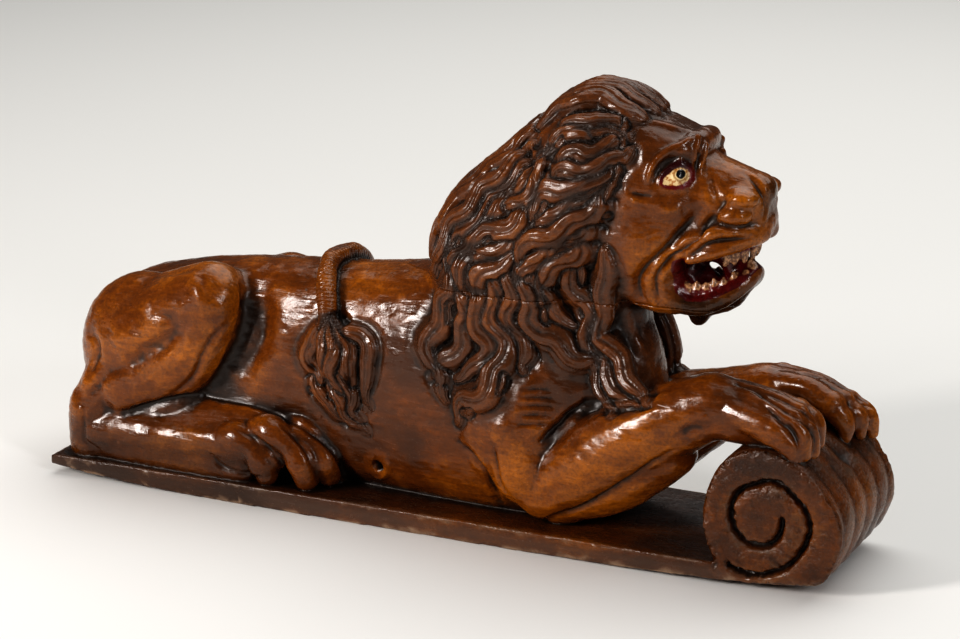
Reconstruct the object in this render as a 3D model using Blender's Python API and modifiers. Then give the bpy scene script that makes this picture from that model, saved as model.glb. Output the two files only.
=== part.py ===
"""Carved wooden rudder head: a lion lying on a thin base, forepaws on a rolled scroll.

Two timbers are glued together at one flat seam and then carved. The lower one holds
the base, the scroll, the body, the legs, the tail and the lower mane. The upper one
holds the head and the upper mane. Metres, +Z up, the lion looks along +X, and the
origin lies on the ground in the middle of the base.
"""
import math

import bmesh
import bpy
from mathutils import Matrix, Vector
from mathutils.bvhtree import BVHTree

# Driving sizes, in metres
LENGTH = 0.720
BASE_THICKNESS = 0.0175
BASE_REAR_WIDTH = 0.174
BASE_FRONT_WIDTH = 0.139
BASE_END_RISE = 0.0085
SEAM_GAP = 0.0003
PIN_HOLE_DIAMETER = 0.0115
PIN_HOLE_HEIGHT = 0.043
# The hole's floor, and a point outside its mouth, as distances from the middle plane
PIN_HOLE_FLOOR = 0.025
PIN_HOLE_MOUTH = 0.085
SPIRAL_GROOVE_WIDTH = 0.0046
# How much the worn top of the base's rear end dips
REAR_EDGE_WEAR = 0.0015

# The fineness of the skin, how many triangles the lion keeps, and the steps of round cuts
SKIN_VOXEL = 0.0036
FIGURE_TRIANGLES = 7700
SPIRAL_STEPS = 34
HOLE_SIDES = 20

# The figure and the scroll are carved as shares of the length: 720 shares make it up,
# so one share is a millimetre at the true size. Heights are counted from the ground
# under a base BASE_SHARE thick, and follow the real thickness of the base.
SHARE = LENGTH / 720.0
BASE_SHARE = 17.5
HALF_LENGTH = 360
BASE_FRONT = 345
REST_FROM = -205
REST_TO = 90
SEAM_LEVEL = 209
SEAM_REAR = -50
# How far past the figure the seam's box reaches, as a share of the length
SEAM_REACH = 1.0
PIN_HOLE_X = -51
NEAR = -1
FAR = 1


def place(x, y, z):
    """A point of the carving, from shares to metres."""
    return Vector((x * SHARE, y * SHARE, (z - BASE_SHARE) * SHARE + BASE_THICKNESS))


# The trunk's sections: x, half width, lowest and highest point
TRUNK = [
    (-344, 24, 66, 128), (-334, 42, 30, 152), (-308, 54, 6, 172), (-265, 58, 6, 184),
    (-215, 56, 6, 193), (-160, 53, 6, 199), (-90, 55, 6, 204), (-35, 60, 6, 211),
    (20, 64, 6, 218), (70, 64, 6, 222), (120, 58, 8, 216), (155, 42, 20, 200), (180, 24, 50, 180),
]

# The tail comes up the far flank, arches over the back and hangs down the near flank:
# x, y, z and radius
TAIL = [
    (-168, 50, 52, 9), (-138, 58, 92, 8), (-122, 60, 148, 8), (-113, 48, 182, 8), (-112, 24, 203, 8),
    (-117, 0, 208, 8), (-123, -24, 203, 8), (-117, -48, 186, 8), (-103, -59, 166, 8), (-95, -61, 146, 9),
]
# The hairs of its tuft: where each hangs to (x, z), how far it bows and its thickness
TUFT_ROOT = (-92, 160)
TUFT_FLANK = 66
TUFT = [(-112, 112, -16, 9), (-98, 92, -10, 9), (-80, 84, 2, 10), (-60, 80, 12, 9), (-58, 108, 16, 8)]

# Where the base's top and its bowed underside have points, from the rear to the scroll
TOP_STATIONS = [-352, -200, -50, 100, 200]
UNDERSIDE_STATIONS = [-360, -330, -295, -250, REST_FROM, REST_TO, 150, 200, 240, 270]

# The scroll: the outline of its side as x and z, from the base's top round to its underside
SCROLL = [
    (257, 17.5), (249, 36), (246, 60), (254, 90), (270, 110), (290, 116), (312, 113), (330, 103),
    (349, 82), (358, 66), (360, 50), (357, 36), (345, 14), (318, 8), (296, 5.5),
]
# How many points round the line between two knots of the scroll
SCROLL_STEPS = 3
SCROLL_EYE = (291, 61.5)
# Its groove: the radius at each angle in degrees, which the turns between follow
SPIRAL = [(244, 50), (350, 42.5), (410, 34), (470, 24.5), (540, 22), (640, 25), (720, 20)]

# Locks of the mane, as knots of x and z on the flank of the mane, from root to tip
SIDE_LOCKS = [
    (174, 371, 160, 352, 130, 339, 117, 322), (173, 346, 152, 328, 128, 322, 109, 308),
    (166, 318, 140, 306, 108, 303, 92, 274), (158, 300, 134, 292, 108, 282, 94, 262),
    (155, 284, 128, 270, 98, 262, 82, 230), (151, 268, 124, 254, 94, 240, 90, 206),
    (150, 250, 128, 238, 104, 222, 96, 200), (150, 262, 144, 226, 158, 186, 190, 148),
    (96, 348, 70, 322, 52, 286, 20, 250), (84, 334, 92, 312, 88, 296, 60, 274),
    (88, 294, 74, 272, 40, 260, 16, 214), (86, 272, 58, 248, 22, 238, 28, 208),
    (80, 248, 58, 236, 46, 216, 45, 194), (24, 226, 18, 200, 2, 170, 12, 122),
    (30, 206, 38, 186, 14, 154, 16, 122), (45, 206, 58, 170, 42, 146, 22, 128),
    (62, 208, 70, 168, 62, 130, 26, 96), (76, 208, 80, 182, 94, 162, 90, 150),
    (92, 208, 104, 180, 142, 178, 156, 142), (108, 212, 106, 190, 128, 196, 136, 178),
    (136, 216, 142, 194, 160, 166, 184, 144),
]
FLANK = 74
# A lock's radius, and how that swells from its thin ends to its middle
LOCK_RADIUS = 10.5
LOCK_END_SHARE = 0.55
LOCK_SWELL = 0.6
# How deep its middle line lies in the skin, as a share of its radius, and its points per knot
LOCK_SINK = 0.35
LOCK_STEPS = 3
# The far flank's locks stop a little further back
FAR_LOCK_DRAW = 0.94
# Locks over the crown and down the nape, as knots of x, y and z near the skin
CROWN_LOCKS = [
    (172, 6, 350, 152, 6, 378, 110, 6, 388, 70, 6, 350),
    (170, 22, 352, 146, 26, 374, 110, 26, 380, 72, 24, 344),
    (164, 40, 356, 144, 44, 356, 112, 46, 356, 80, 44, 332),
    (66, 8, 350, 34, 8, 318, -2, 8, 278, -32, 10, 232),
    (70, 26, 342, 40, 28, 308, 8, 30, 264, -16, 30, 226),
    (78, 44, 330, 50, 48, 296, 20, 50, 256, -4, 50, 218),
]
# A thick lock that hangs free of the throat on the far side: x, y, z and radius
THROAT_LOCK = [(140, 48, 200, 9), (157, 52, 176, 10), (166, 54, 150, 11), (170, 54, 118, 9)]


def collection(name):
    group = bpy.data.collections.new(name)
    bpy.context.scene.collection.children.link(group)
    return group


def new_object(name, mesh, group):
    item = bpy.data.objects.new(name, mesh)
    group.objects.link(item)
    return item


def mesh_from(form, name):
    mesh = bpy.data.meshes.new(name)
    form.to_mesh(mesh)
    form.free()
    return mesh


def baked(item):
    """The evaluated mesh of an object, as a mesh of its own."""
    shape = item.evaluated_get(bpy.context.evaluated_depsgraph_get())
    return bpy.data.meshes.new_from_object(shape)


def tube_mesh(stations, sides, kind='NURBS'):
    """A curve through points with a radius each, as a closed mesh in metres."""
    path = bpy.data.curves.new("tube", 'CURVE')
    path.dimensions = '3D'
    path.bevel_depth = 1.0
    path.bevel_resolution = sides
    path.resolution_u = 6
    path.use_fill_caps = True
    spline = path.splines.new(kind)
    spline.points.add(len(stations) - 1)
    if kind == 'NURBS':
        spline.order_u = 3
        spline.use_endpoint_u = True
    for knot, (point, radius) in zip(spline.points, stations):
        knot.co = (*point, 1.0)
        knot.radius = radius
    holder = new_object("tube", path, bpy.context.scene.collection)
    mesh = baked(holder)
    bpy.data.objects.remove(holder)
    bpy.data.curves.remove(path)
    form = bmesh.new()
    form.from_mesh(mesh)
    bpy.data.meshes.remove(mesh)
    bmesh.ops.remove_doubles(form, verts=form.verts, dist=1e-6)
    return mesh_from(form, "tube")


class Clay:
    """A heap of closed forms that one voxel remesh then joins into one skin."""

    def __init__(self, core=None):
        self.form = bmesh.new()
        self.core = core

    def add_mesh(self, mesh):
        self.form.from_mesh(mesh)
        bpy.data.meshes.remove(mesh)

    def ball(self, centre, radii):
        """An ellipsoid in shares."""
        matrix = Matrix.Translation(place(*centre)) @ Matrix.Diagonal(Vector(radii) * SHARE).to_4x4()
        ball = bmesh.new()
        bmesh.ops.create_uvsphere(ball, u_segments=32, v_segments=18, radius=1.0, matrix=matrix)
        self.add_mesh(mesh_from(ball, "ball"))

    def limb(self, stations, sides=3):
        """A round-ended limb through stations of (x, y, z, radius)."""
        self.add_mesh(tube_mesh([(place(x, y, z), r * SHARE) for x, y, z, r in stations], sides))
        for x, y, z, r in (stations[0], stations[-1]):
            self.ball((x, y, z), (r, r, r))

    def loft(self, sections, sides=28, power=2.4):
        """A trunk through sections of (x, half width, lowest, highest), closed at both ends."""
        rings = []
        for x, half_width, low, high in sections:
            ring = []
            for k in range(sides):
                angle = 2.0 * math.pi * k / sides
                c = math.copysign(abs(math.cos(angle)) ** (2.0 / power), math.cos(angle))
                s = math.copysign(abs(math.sin(angle)) ** (2.0 / power), math.sin(angle))
                height = (low + high) / 2.0 + (high - low) / 2.0 * s
                ring.append(self.form.verts.new(place(x, half_width * c, height)))
            rings.append(ring)
        for first, second in zip(rings, rings[1:]):
            for k in range(sides):
                after = (k + 1) % sides
                self.form.faces.new((first[k], first[after], second[after], second[k]))
        self.form.faces.new(rings[0][::-1])
        self.form.faces.new(rings[-1])

    def skin(self, voxel, smooth_steps):
        """Joins all forms to one closed mesh and rounds the creases between them."""
        bmesh.ops.recalc_face_normals(self.form, faces=self.form.faces)
        if self.core:
            self.add_mesh(self.core)
        item = new_object("skin", mesh_from(self.form, "skin"), bpy.context.scene.collection)
        remesh = item.modifiers.new("join", 'REMESH')
        remesh.mode = 'VOXEL'
        remesh.voxel_size = voxel
        remesh.adaptivity = 0.0
        if smooth_steps:
            soften = item.modifiers.new("soften", 'SMOOTH')
            soften.factor = 0.5
            soften.iterations = smooth_steps
        mesh = baked(item)
        rough = item.data
        bpy.data.objects.remove(item)
        bpy.data.meshes.remove(rough)
        return mesh


def hind_leg(clay, side, ahead, drop):
    """Haunch, raised knee, shank and the long foot lying along the base."""
    clay.ball((-277, side * 40, 110 - drop), (71, 42, 72))
    clay.limb([(-277, side * 35, 124 - drop, 50), (-240 + ahead * 0.5, side * 43, 150 - drop, 41),
               (-213 + ahead, side * 48, 167 - drop, 34)])
    clay.limb([(-212 + ahead, side * 48, 160 - drop, 32), (-232 + ahead, side * 50, 118 - drop, 34),
               (-292, side * 56, 84, 30)])
    clay.ball((-329, side * 60, 58), (22, 24, 26))
    clay.limb([(-331, side * 60, 52, 22), (-331, side * 60, 26, 22)])
    clay.limb([(-320, side * 60, 42, 24), (-240, side * 56, 48, 29), (-180, side * 55, 54, 30),
               (-146, side * 55, 50, 27)])


def hind_toes(clay, side):
    for across, reach in ((76, -106), (64, -98), (51, -96), (38, -100)):
        y = side * across
        clay.limb([(reach - 50, y, 62, 10), (reach - 24, y, 58, 11),
                   (reach - 6, y, 46, 11), (reach, y, 30, 9)])


def fore_leg(clay, side, reach, drop):
    """Shoulder, elbow on the base, forearm rising to the wrist and the back of the paw."""
    clay.ball((68, side * 44, 105), (52, 32, 64))
    clay.limb([(70, side * 46, 105, 32), (84, side * 44, 62, 32), (98, side * 44, 44, 24)])
    clay.limb([(100, side * 46, 44, 24), (130, side * 47, 68, 31), (165, side * 47, 94, 33),
               (205, side * 45, 119 - drop, 31), (242 + reach, side * 43, 137 - drop, 27)])
    clay.limb([(242 + reach, side * 43, 137 - drop, 27), (274 + reach, side * 44, 133 - drop, 23),
               (300 + reach * 0.6, side * 45, 124 - drop, 18)])
    clay.limb([(110, side * 36, 40, 26), (160, side * 36, 62, 28), (204, side * 38, 92, 24)])


def fore_toes(clay, side, reach, drop):
    """Long toes fanning over the scroll, each with a knuckle and a curled tip, on one pad."""
    clay.ball((316 + reach * 0.35, side * 45, 113 - drop * 0.4), (20, 25, 12))
    for across, ahead in ((64, -14), (52, 0), (39, 6), (26, 2)):
        y = side * across
        tip = 333 + reach * 0.35 + ahead
        clay.limb([(262 + reach, side * (across * 0.7 + 14), 152 - drop, 7), (tip - 36, y, 146 - drop, 9),
                   (tip - 10, y, 132 - drop, 10), (tip, y, 116 - drop, 8), (tip - 6, y, 106 - drop, 5)])


def neck_and_mane(clay):
    clay.limb([(130, 0, 309, 68), (91, 0, 264, 71), (38, 0, 215, 73), (56, 0, 160, 66)])
    clay.ball((100, 0, 270), (56, 72, 68))
    clay.ball((76, 0, 226), (70, 72, 60))
    clay.limb([(132, 0, 290, 50), (126, 0, 200, 44), (130, 0, 140, 50)])


def head(clay):
    """Skull, brows, muzzle with nose and flews, and the lower jaw."""
    clay.ball((168, 0, 302), (48, 50, 56))
    for side in (NEAR, FAR):
        clay.limb([(184, side * 30, 334, 12), (204, side * 22, 338, 10), (212, side * 17, 336, 8)])
        clay.ball((206, side * 42, 320), (10, 6, 10))
        clay.ball((190, side * 34, 290), (34, 20, 40))
        clay.limb([(210, side * 33, 264, 12), (236, side * 29, 267, 14), (258, side * 16, 275, 14)])
    clay.limb([(180, 0, 296, 42), (222, 0, 296, 32), (250, 0, 293, 25)])
    clay.ball((258, 0, 306), (18, 17, 12))
    clay.ball((262, 0, 278), (12, 15, 12))
    clay.limb([(176, 0, 230, 36), (214, 0, 215, 22), (240, 0, 222, 16)])
    clay.ball((248, 0, 231), (14, 20, 11))
    for side in (NEAR, FAR):
        clay.limb([(246, side * 13, 258, 6), (247, side * 13, 238, 5)])
    clay.ball((215, 0, 198), (11, 9, 11))


def lock_path(knots, tree, radius):
    """Lays a lock on the skin: thick in the middle, thin at root and tip."""
    stations = []
    line = smooth_line(knots, LOCK_STEPS)
    for k, knot in enumerate(line):
        point, normal, _, _ = tree.find_nearest(knot)
        share = k / (len(line) - 1)
        thick = radius * (LOCK_END_SHARE + LOCK_SWELL * math.sin(math.pi * (0.15 + 0.8 * share)))
        stations.append((point - normal * thick * LOCK_SINK, thick))
    return stations


def mane_locks(clay, tree):
    for row in SIDE_LOCKS:
        for side in (NEAR, FAR):
            draw = 1.0 if side == NEAR else FAR_LOCK_DRAW
            knots = [place(x * draw, side * FLANK, z) for x, z in zip(row[0::2], row[1::2])]
            clay.add_mesh(tube_mesh(lock_path(knots, tree, LOCK_RADIUS * SHARE), 2))
    for row in CROWN_LOCKS:
        for side in (NEAR, FAR):
            knots = [place(x, side * y, z) for x, y, z in zip(row[0::3], row[1::3], row[2::3])]
            clay.add_mesh(tube_mesh(lock_path(knots, tree, LOCK_RADIUS * SHARE), 2))
    clay.limb(THROAT_LOCK)


def tail(clay, tree):
    clay.limb([(-330, -6, 140, 10), (-349, -6, 112, 10), (-351, -4, 84, 9), (-345, 0, 40, 9)])
    clay.limb(TAIL)
    x0, z0 = TUFT_ROOT
    for x1, z1, bow, thick in TUFT:
        knots = []
        for share in (0.0, 0.33, 0.67, 1.0):
            swing = bow * math.sin(math.pi * share)
            knots.append(place(x0 + (x1 - x0) * share + swing, NEAR * TUFT_FLANK, z0 + (z1 - z0) * share))
        clay.add_mesh(tube_mesh(lock_path(knots, tree, thick * SHARE), 2))


def figure_mesh():
    """The lion alone, without base and scroll."""
    clay = Clay()
    clay.loft(TRUNK)
    hind_leg(clay, NEAR, 0, 0)
    hind_leg(clay, FAR, 24, 13)
    fore_leg(clay, NEAR, 0, 0)
    fore_leg(clay, FAR, 18, 14)
    neck_and_mane(clay)
    head(clay)
    masses = clay.skin(SKIN_VOXEL, 8)
    form = bmesh.new()
    form.from_mesh(masses)
    tree = BVHTree.FromBMesh(form)
    form.free()
    clay = Clay(masses)
    mane_locks(clay, tree)
    tail(clay, tree)
    for side in (NEAR, FAR):
        hind_toes(clay, side)
    fore_toes(clay, NEAR, 0, 0)
    fore_toes(clay, FAR, 18, 14)
    return clay.skin(SKIN_VOXEL, 1)


def half_width(x):
    """Half the base's width at x, in metres: it narrows evenly from the rear to the front."""
    share = (x + HALF_LENGTH) / (BASE_FRONT + HALF_LENGTH)
    return (BASE_REAR_WIDTH + (BASE_FRONT_WIDTH - BASE_REAR_WIDTH) * share) / 2.0


def underside(x):
    """The base rests on its middle; its ends lift off in a slow curve. In metres."""
    if x < REST_FROM:
        return BASE_END_RISE * ((REST_FROM - x) / (HALF_LENGTH + REST_FROM)) ** 2
    if x > REST_TO:
        return BASE_END_RISE * ((x - REST_TO) / (BASE_FRONT - REST_TO)) ** 2
    return 0.0


def smooth_line(knots, steps):
    """An open Catmull-Rom line through knots."""
    ends = [knots[0]] + knots + [knots[-1]]
    points = []
    for k in range(len(knots) - 1):
        a, b, c, d = (Vector(ends[k + j]) for j in range(4))
        for step in range(steps):
            t = step / steps
            points.append(0.5 * (2 * b + (c - a) * t + (2 * a - 5 * b + 4 * c - d) * t ** 2
                                 + (3 * b - a - 3 * c + d) * t ** 3))
    return points + [Vector(knots[-1])]


def base_mesh():
    """The thin bowed base, whose front rises and rolls back over itself into the scroll."""
    outline = [place(-HALF_LENGTH, 0, BASE_SHARE)]
    outline[0].z -= REAR_EDGE_WEAR
    outline += [place(x, 0, BASE_SHARE) for x in TOP_STATIONS]
    outline += [place(x, 0, z) for x, z in smooth_line(SCROLL, SCROLL_STEPS)]
    outline += [Vector((x * SHARE, 0.0, underside(x))) for x in reversed(UNDERSIDE_STATIONS)]
    form = bmesh.new()
    near, far = (
        [form.verts.new((point.x, side * half_width(point.x / SHARE), point.z)) for point in outline]
        for side in (NEAR, FAR)
    )
    for k in range(len(outline)):
        after = (k + 1) % len(outline)
        form.faces.new((near[k], near[after], far[after], far[k]))
    form.faces.new(near[::-1])
    form.faces.new(far)
    bmesh.ops.recalc_face_normals(form, faces=form.faces)
    return mesh_from(form, "base")


def spiral_point(angle, side):
    """A point of the groove on the scroll's side face."""
    for (a, ra), (b, rb) in zip(SPIRAL, SPIRAL[1:]):
        if angle <= b:
            break
    share = (angle - a) / (b - a)
    radius = ra + (rb - ra) * share * share * (3.0 - 2.0 * share)
    turn = math.radians(angle)
    point = place(SCROLL_EYE[0] + radius * math.cos(turn), 0, SCROLL_EYE[1] + radius * math.sin(turn))
    point.y = side * half_width(point.x / SHARE)
    return point


def combine(item, mesh, operation, group):
    """A Boolean of an object with another mesh, kept as the object's own mesh."""
    other = new_object("cutter", mesh, group)
    other.display_type = 'WIRE'
    other.hide_render = True
    change = item.modifiers.new("combine", 'BOOLEAN')
    change.operation = operation
    change.solver = 'EXACT'
    change.object = other
    result = baked(item)
    item.modifiers.remove(change)
    bpy.data.objects.remove(other)
    bpy.data.meshes.remove(mesh)
    old = item.data
    item.data = result
    bpy.data.meshes.remove(old)


def thinned(mesh, triangles, group):
    """A mesh brought down to a number of triangles."""
    item = new_object("thin", mesh, group)
    fewer = item.modifiers.new("fewer", 'DECIMATE')
    fewer.ratio = min(1.0, triangles / (2.0 * len(mesh.polygons)))
    fewer.use_collapse_triangulate = True
    result = baked(item)
    bpy.data.objects.remove(item)
    bpy.data.meshes.remove(mesh)
    return result


def seam_box(lift):
    """Everything above the glued seam, from behind the mane to past the nose."""
    form = bmesh.new()
    reach = LENGTH * SEAM_REACH
    low = place(SEAM_REAR, 0, SEAM_LEVEL) + Vector((0.0, -reach, lift))
    high = Vector((reach, reach, reach))
    size = high - low
    matrix = Matrix.Translation((low + high) / 2.0) @ Matrix.Diagonal(size).to_4x4()
    bmesh.ops.create_cube(form, size=1.0, matrix=matrix)
    return mesh_from(form, "seam")


def pin_hole():
    """The blind hole in the near flank through which the carving was pinned."""
    form = bmesh.new()
    middle = (PIN_HOLE_FLOOR + PIN_HOLE_MOUTH) / 2.0
    centre = Vector((PIN_HOLE_X * SHARE, NEAR * middle, PIN_HOLE_HEIGHT))
    matrix = Matrix.Translation(centre) @ Matrix.Rotation(math.radians(90), 4, 'X')
    radius = PIN_HOLE_DIAMETER / 2.0
    bmesh.ops.create_cone(form, cap_ends=True, segments=HOLE_SIDES, radius1=radius, radius2=radius,
                          depth=PIN_HOLE_MOUTH - PIN_HOLE_FLOOR, matrix=matrix)
    return mesh_from(form, "hole")


def wood(name, colour):
    """Brown varnished wood."""
    material = bpy.data.materials.new(name)
    material.use_nodes = True
    shader = material.node_tree.nodes["Principled BSDF"]
    shader.inputs["Base Color"].default_value = (*colour, 1.0)
    shader.inputs["Roughness"].default_value = 0.25
    shader.inputs["Metallic"].default_value = 0.0
    return material


def finish(item, name, colour):
    item.name = name
    item.data.name = name
    item.data.materials.clear()
    item.data.materials.append(wood(name + "_wood", colour))


def main():
    for item in list(bpy.data.objects):
        bpy.data.objects.remove(item)
    group = collection("rudder_head_carving")
    cutters = collection("cutters")
    lion = figure_mesh()
    upper = new_object("upper", thinned(lion, FIGURE_TRIANGLES, cutters), group)
    lower = new_object("lower", upper.data.copy(), group)
    combine(upper, seam_box(SEAM_GAP), 'INTERSECT', cutters)
    combine(lower, seam_box(0.0), 'DIFFERENCE', cutters)
    combine(lower, base_mesh(), 'UNION', cutters)
    first, last = SPIRAL[0][0], SPIRAL[-1][0]
    turns = [first + (last - first) * k / SPIRAL_STEPS for k in range(SPIRAL_STEPS + 1)]
    for side in (NEAR, FAR):
        path = [(spiral_point(turn, side), SPIRAL_GROOVE_WIDTH / 2.0) for turn in turns]
        combine(lower, tube_mesh(path, 1, 'POLY'), 'DIFFERENCE', cutters)
    combine(lower, pin_hole(), 'DIFFERENCE', cutters)
    finish(lower, "body_and_base", (0.16, 0.055, 0.016))
    finish(upper, "head_block", (0.19, 0.068, 0.020))


main()
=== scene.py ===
"""A lion carved from two glued timbers for the head of a rudder, in old brown varnish."""
import math

import bmesh
import bpy
import numpy as np
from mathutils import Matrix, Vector, noise
from mathutils.bvhtree import BVHTree


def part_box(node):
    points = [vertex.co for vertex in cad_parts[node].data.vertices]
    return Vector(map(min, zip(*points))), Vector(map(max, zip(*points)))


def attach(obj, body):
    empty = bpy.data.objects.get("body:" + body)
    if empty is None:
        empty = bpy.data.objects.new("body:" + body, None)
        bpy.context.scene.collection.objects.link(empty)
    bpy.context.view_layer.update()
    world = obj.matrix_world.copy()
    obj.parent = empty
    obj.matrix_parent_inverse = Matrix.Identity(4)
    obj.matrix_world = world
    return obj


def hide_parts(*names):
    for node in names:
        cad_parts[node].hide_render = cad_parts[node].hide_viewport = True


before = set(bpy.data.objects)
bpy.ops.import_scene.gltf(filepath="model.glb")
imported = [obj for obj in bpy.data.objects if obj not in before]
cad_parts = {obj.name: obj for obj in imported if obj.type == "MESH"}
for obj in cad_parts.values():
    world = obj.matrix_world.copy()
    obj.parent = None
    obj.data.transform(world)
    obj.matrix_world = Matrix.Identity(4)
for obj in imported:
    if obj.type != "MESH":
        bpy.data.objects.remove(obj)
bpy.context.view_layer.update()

# All places below are in millimetres. The lion looks along +X and the photographed flank faces -Y.
MM = 0.001
NEAR, FAR = -1, 1
BOARD_TOP = 17.5
SEAM_LEVEL = 209.0
SEAM_REAR = -50.0
SEAM_GAP = 0.3
# The pin's hole in the belly: x, z and radius
PIN_HOLE = (-54, 42, 5.75)
# The direction from the lion to the camera, along which the lines on the near side were traced
AZIMUTH, ELEVATION = math.radians(26.0), math.radians(16.6)
VIEW = np.array((math.sin(AZIMUTH) * math.cos(ELEVATION), -math.cos(AZIMUTH) * math.cos(ELEVATION),
                 math.sin(ELEVATION)))


# Working with meshes

def activate(item):
    bpy.ops.object.select_all(action='DESELECT')
    item.select_set(True)
    bpy.context.view_layer.objects.active = item


def into_scene(name, data):
    item = bpy.data.objects.new(name, data)
    bpy.context.scene.collection.objects.link(item)
    return item


def object_from(name, points, faces):
    mesh = bpy.data.meshes.new(name)
    mesh.from_pydata((np.asarray(points) * MM).tolist(), [], faces)
    return into_scene(name, mesh)


def added():
    """The object that was just added, with its size and place worked into its mesh."""
    bpy.ops.object.transform_apply(location=True, rotation=True, scale=True)
    return bpy.context.object


def modify(item, kind, **settings):
    """Adds a modifier, sets it and applies it."""
    activate(item)
    bpy.ops.object.modifier_add(type=kind)
    change = item.modifiers[-1]
    for key, value in settings.items():
        setattr(change, key, value)
    bpy.ops.object.modifier_apply(modifier=change.name)


def cut(item, tool, operation):
    modify(item, 'BOOLEAN', operation=operation, object=tool, solver='MANIFOLD')
    bpy.data.objects.remove(tool)


def block(low, high):
    bpy.ops.object.select_all(action='DESELECT')
    low, high = np.array(low) * MM, np.array(high) * MM
    bpy.ops.mesh.primitive_cube_add(size=1.0, location=(low + high) / 2, scale=high - low)
    return added()


def places(item):
    """The points of a mesh, in millimetres."""
    flat = np.empty(len(item.data.vertices) * 3)
    item.data.vertices.foreach_get("co", flat)
    return flat.reshape(-1, 3) / MM


def normals(item):
    flat = np.empty(len(item.data.vertices) * 3)
    item.data.vertex_normals.foreach_get("vector", flat)
    return flat.reshape(-1, 3)


def move_points(item, points):
    item.data.vertices.foreach_set("co", (points * MM).ravel())
    item.data.update()


def face_outward(item, in_triangles=False):
    """Turns the faces of a new mesh outward, and cuts them into triangles where asked."""
    activate(item)
    bpy.ops.object.mode_set(mode='EDIT')
    bpy.ops.mesh.select_all(action='SELECT')
    if in_triangles:
        bpy.ops.mesh.quads_convert_to_tris()
    bpy.ops.mesh.normals_make_consistent(inside=False)
    bpy.ops.object.mode_set(mode='OBJECT')


def close_to(line, points, reach):
    """The numbers of the points in the box round a line, widened by reach."""
    low, high = line.min(axis=0) - reach, line.max(axis=0) + reach
    return np.nonzero(np.all((points > low) & (points < high), axis=1))[0]


def clamp(values):
    return np.clip(values, 0, 1)


def tube_faces(count, sides):
    """The four-sided faces between rings of points."""
    around = [(j, (j + 1) % sides) for j in range(sides)]
    return [(low + j, low + after, low + sides + after, low + sides + j)
            for low in range(0, (count - 1) * sides, sides) for j, after in around]


class Skin:
    """The surface of a mesh, to lay other forms on."""

    def __init__(self, item):
        polygons = [tuple(face.vertices) for face in item.data.polygons]
        self.tree = BVHTree.FromPolygons(places(item).tolist(), polygons)

    def nearest(self, points):
        found = [self.tree.find_nearest(point)[:2] for point in points]
        return np.array([spot for spot, _ in found]), np.array([normal for _, normal in found])

    def seen(self, points, side):
        """Points moved along the line of sight onto the skin, mirrored for the far side."""
        sight = VIEW * (1, -side, 1)
        points = np.array(points, float) * (1, -side, 1)
        depth = np.zeros(len(points))
        for k, point in enumerate(points):
            distance = self.tree.ray_cast(point + sight * 60, -sight, 100)[3]
            if distance is not None:
                depth[k] = 60 - distance
        ends = np.pad(depth, 2, mode='edge')
        depth = np.median([ends[k:k + len(depth)] for k in range(5)], axis=0)
        ends = np.pad(depth, 1, mode='edge')
        return points + sight * ((ends[:-2] + depth * 2 + ends[2:]) / 4)[:, None]


def flow(knots, steps):
    """A Catmull-Rom line through knots, with steps points between two of them."""
    knots = np.array(knots, float)
    ends = np.vstack([2 * knots[0] - knots[1], knots, 2 * knots[-1] - knots[-2]])
    t = np.arange(steps)[:, None] / steps
    runs = []
    for a, b, c, d in zip(ends, ends[1:], ends[2:], ends[3:]):
        runs.append(0.5 * (2 * b + (c - a) * t + (2 * a - 5 * b + 4 * c - d) * t ** 2
                           + (3 * b - a - 3 * c + d) * t ** 3))
    return np.vstack(runs + [knots[-1:]])


def unit(vectors):
    return vectors / np.maximum(np.linalg.norm(vectors, axis=-1, keepdims=True), 1e-9)


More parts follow.
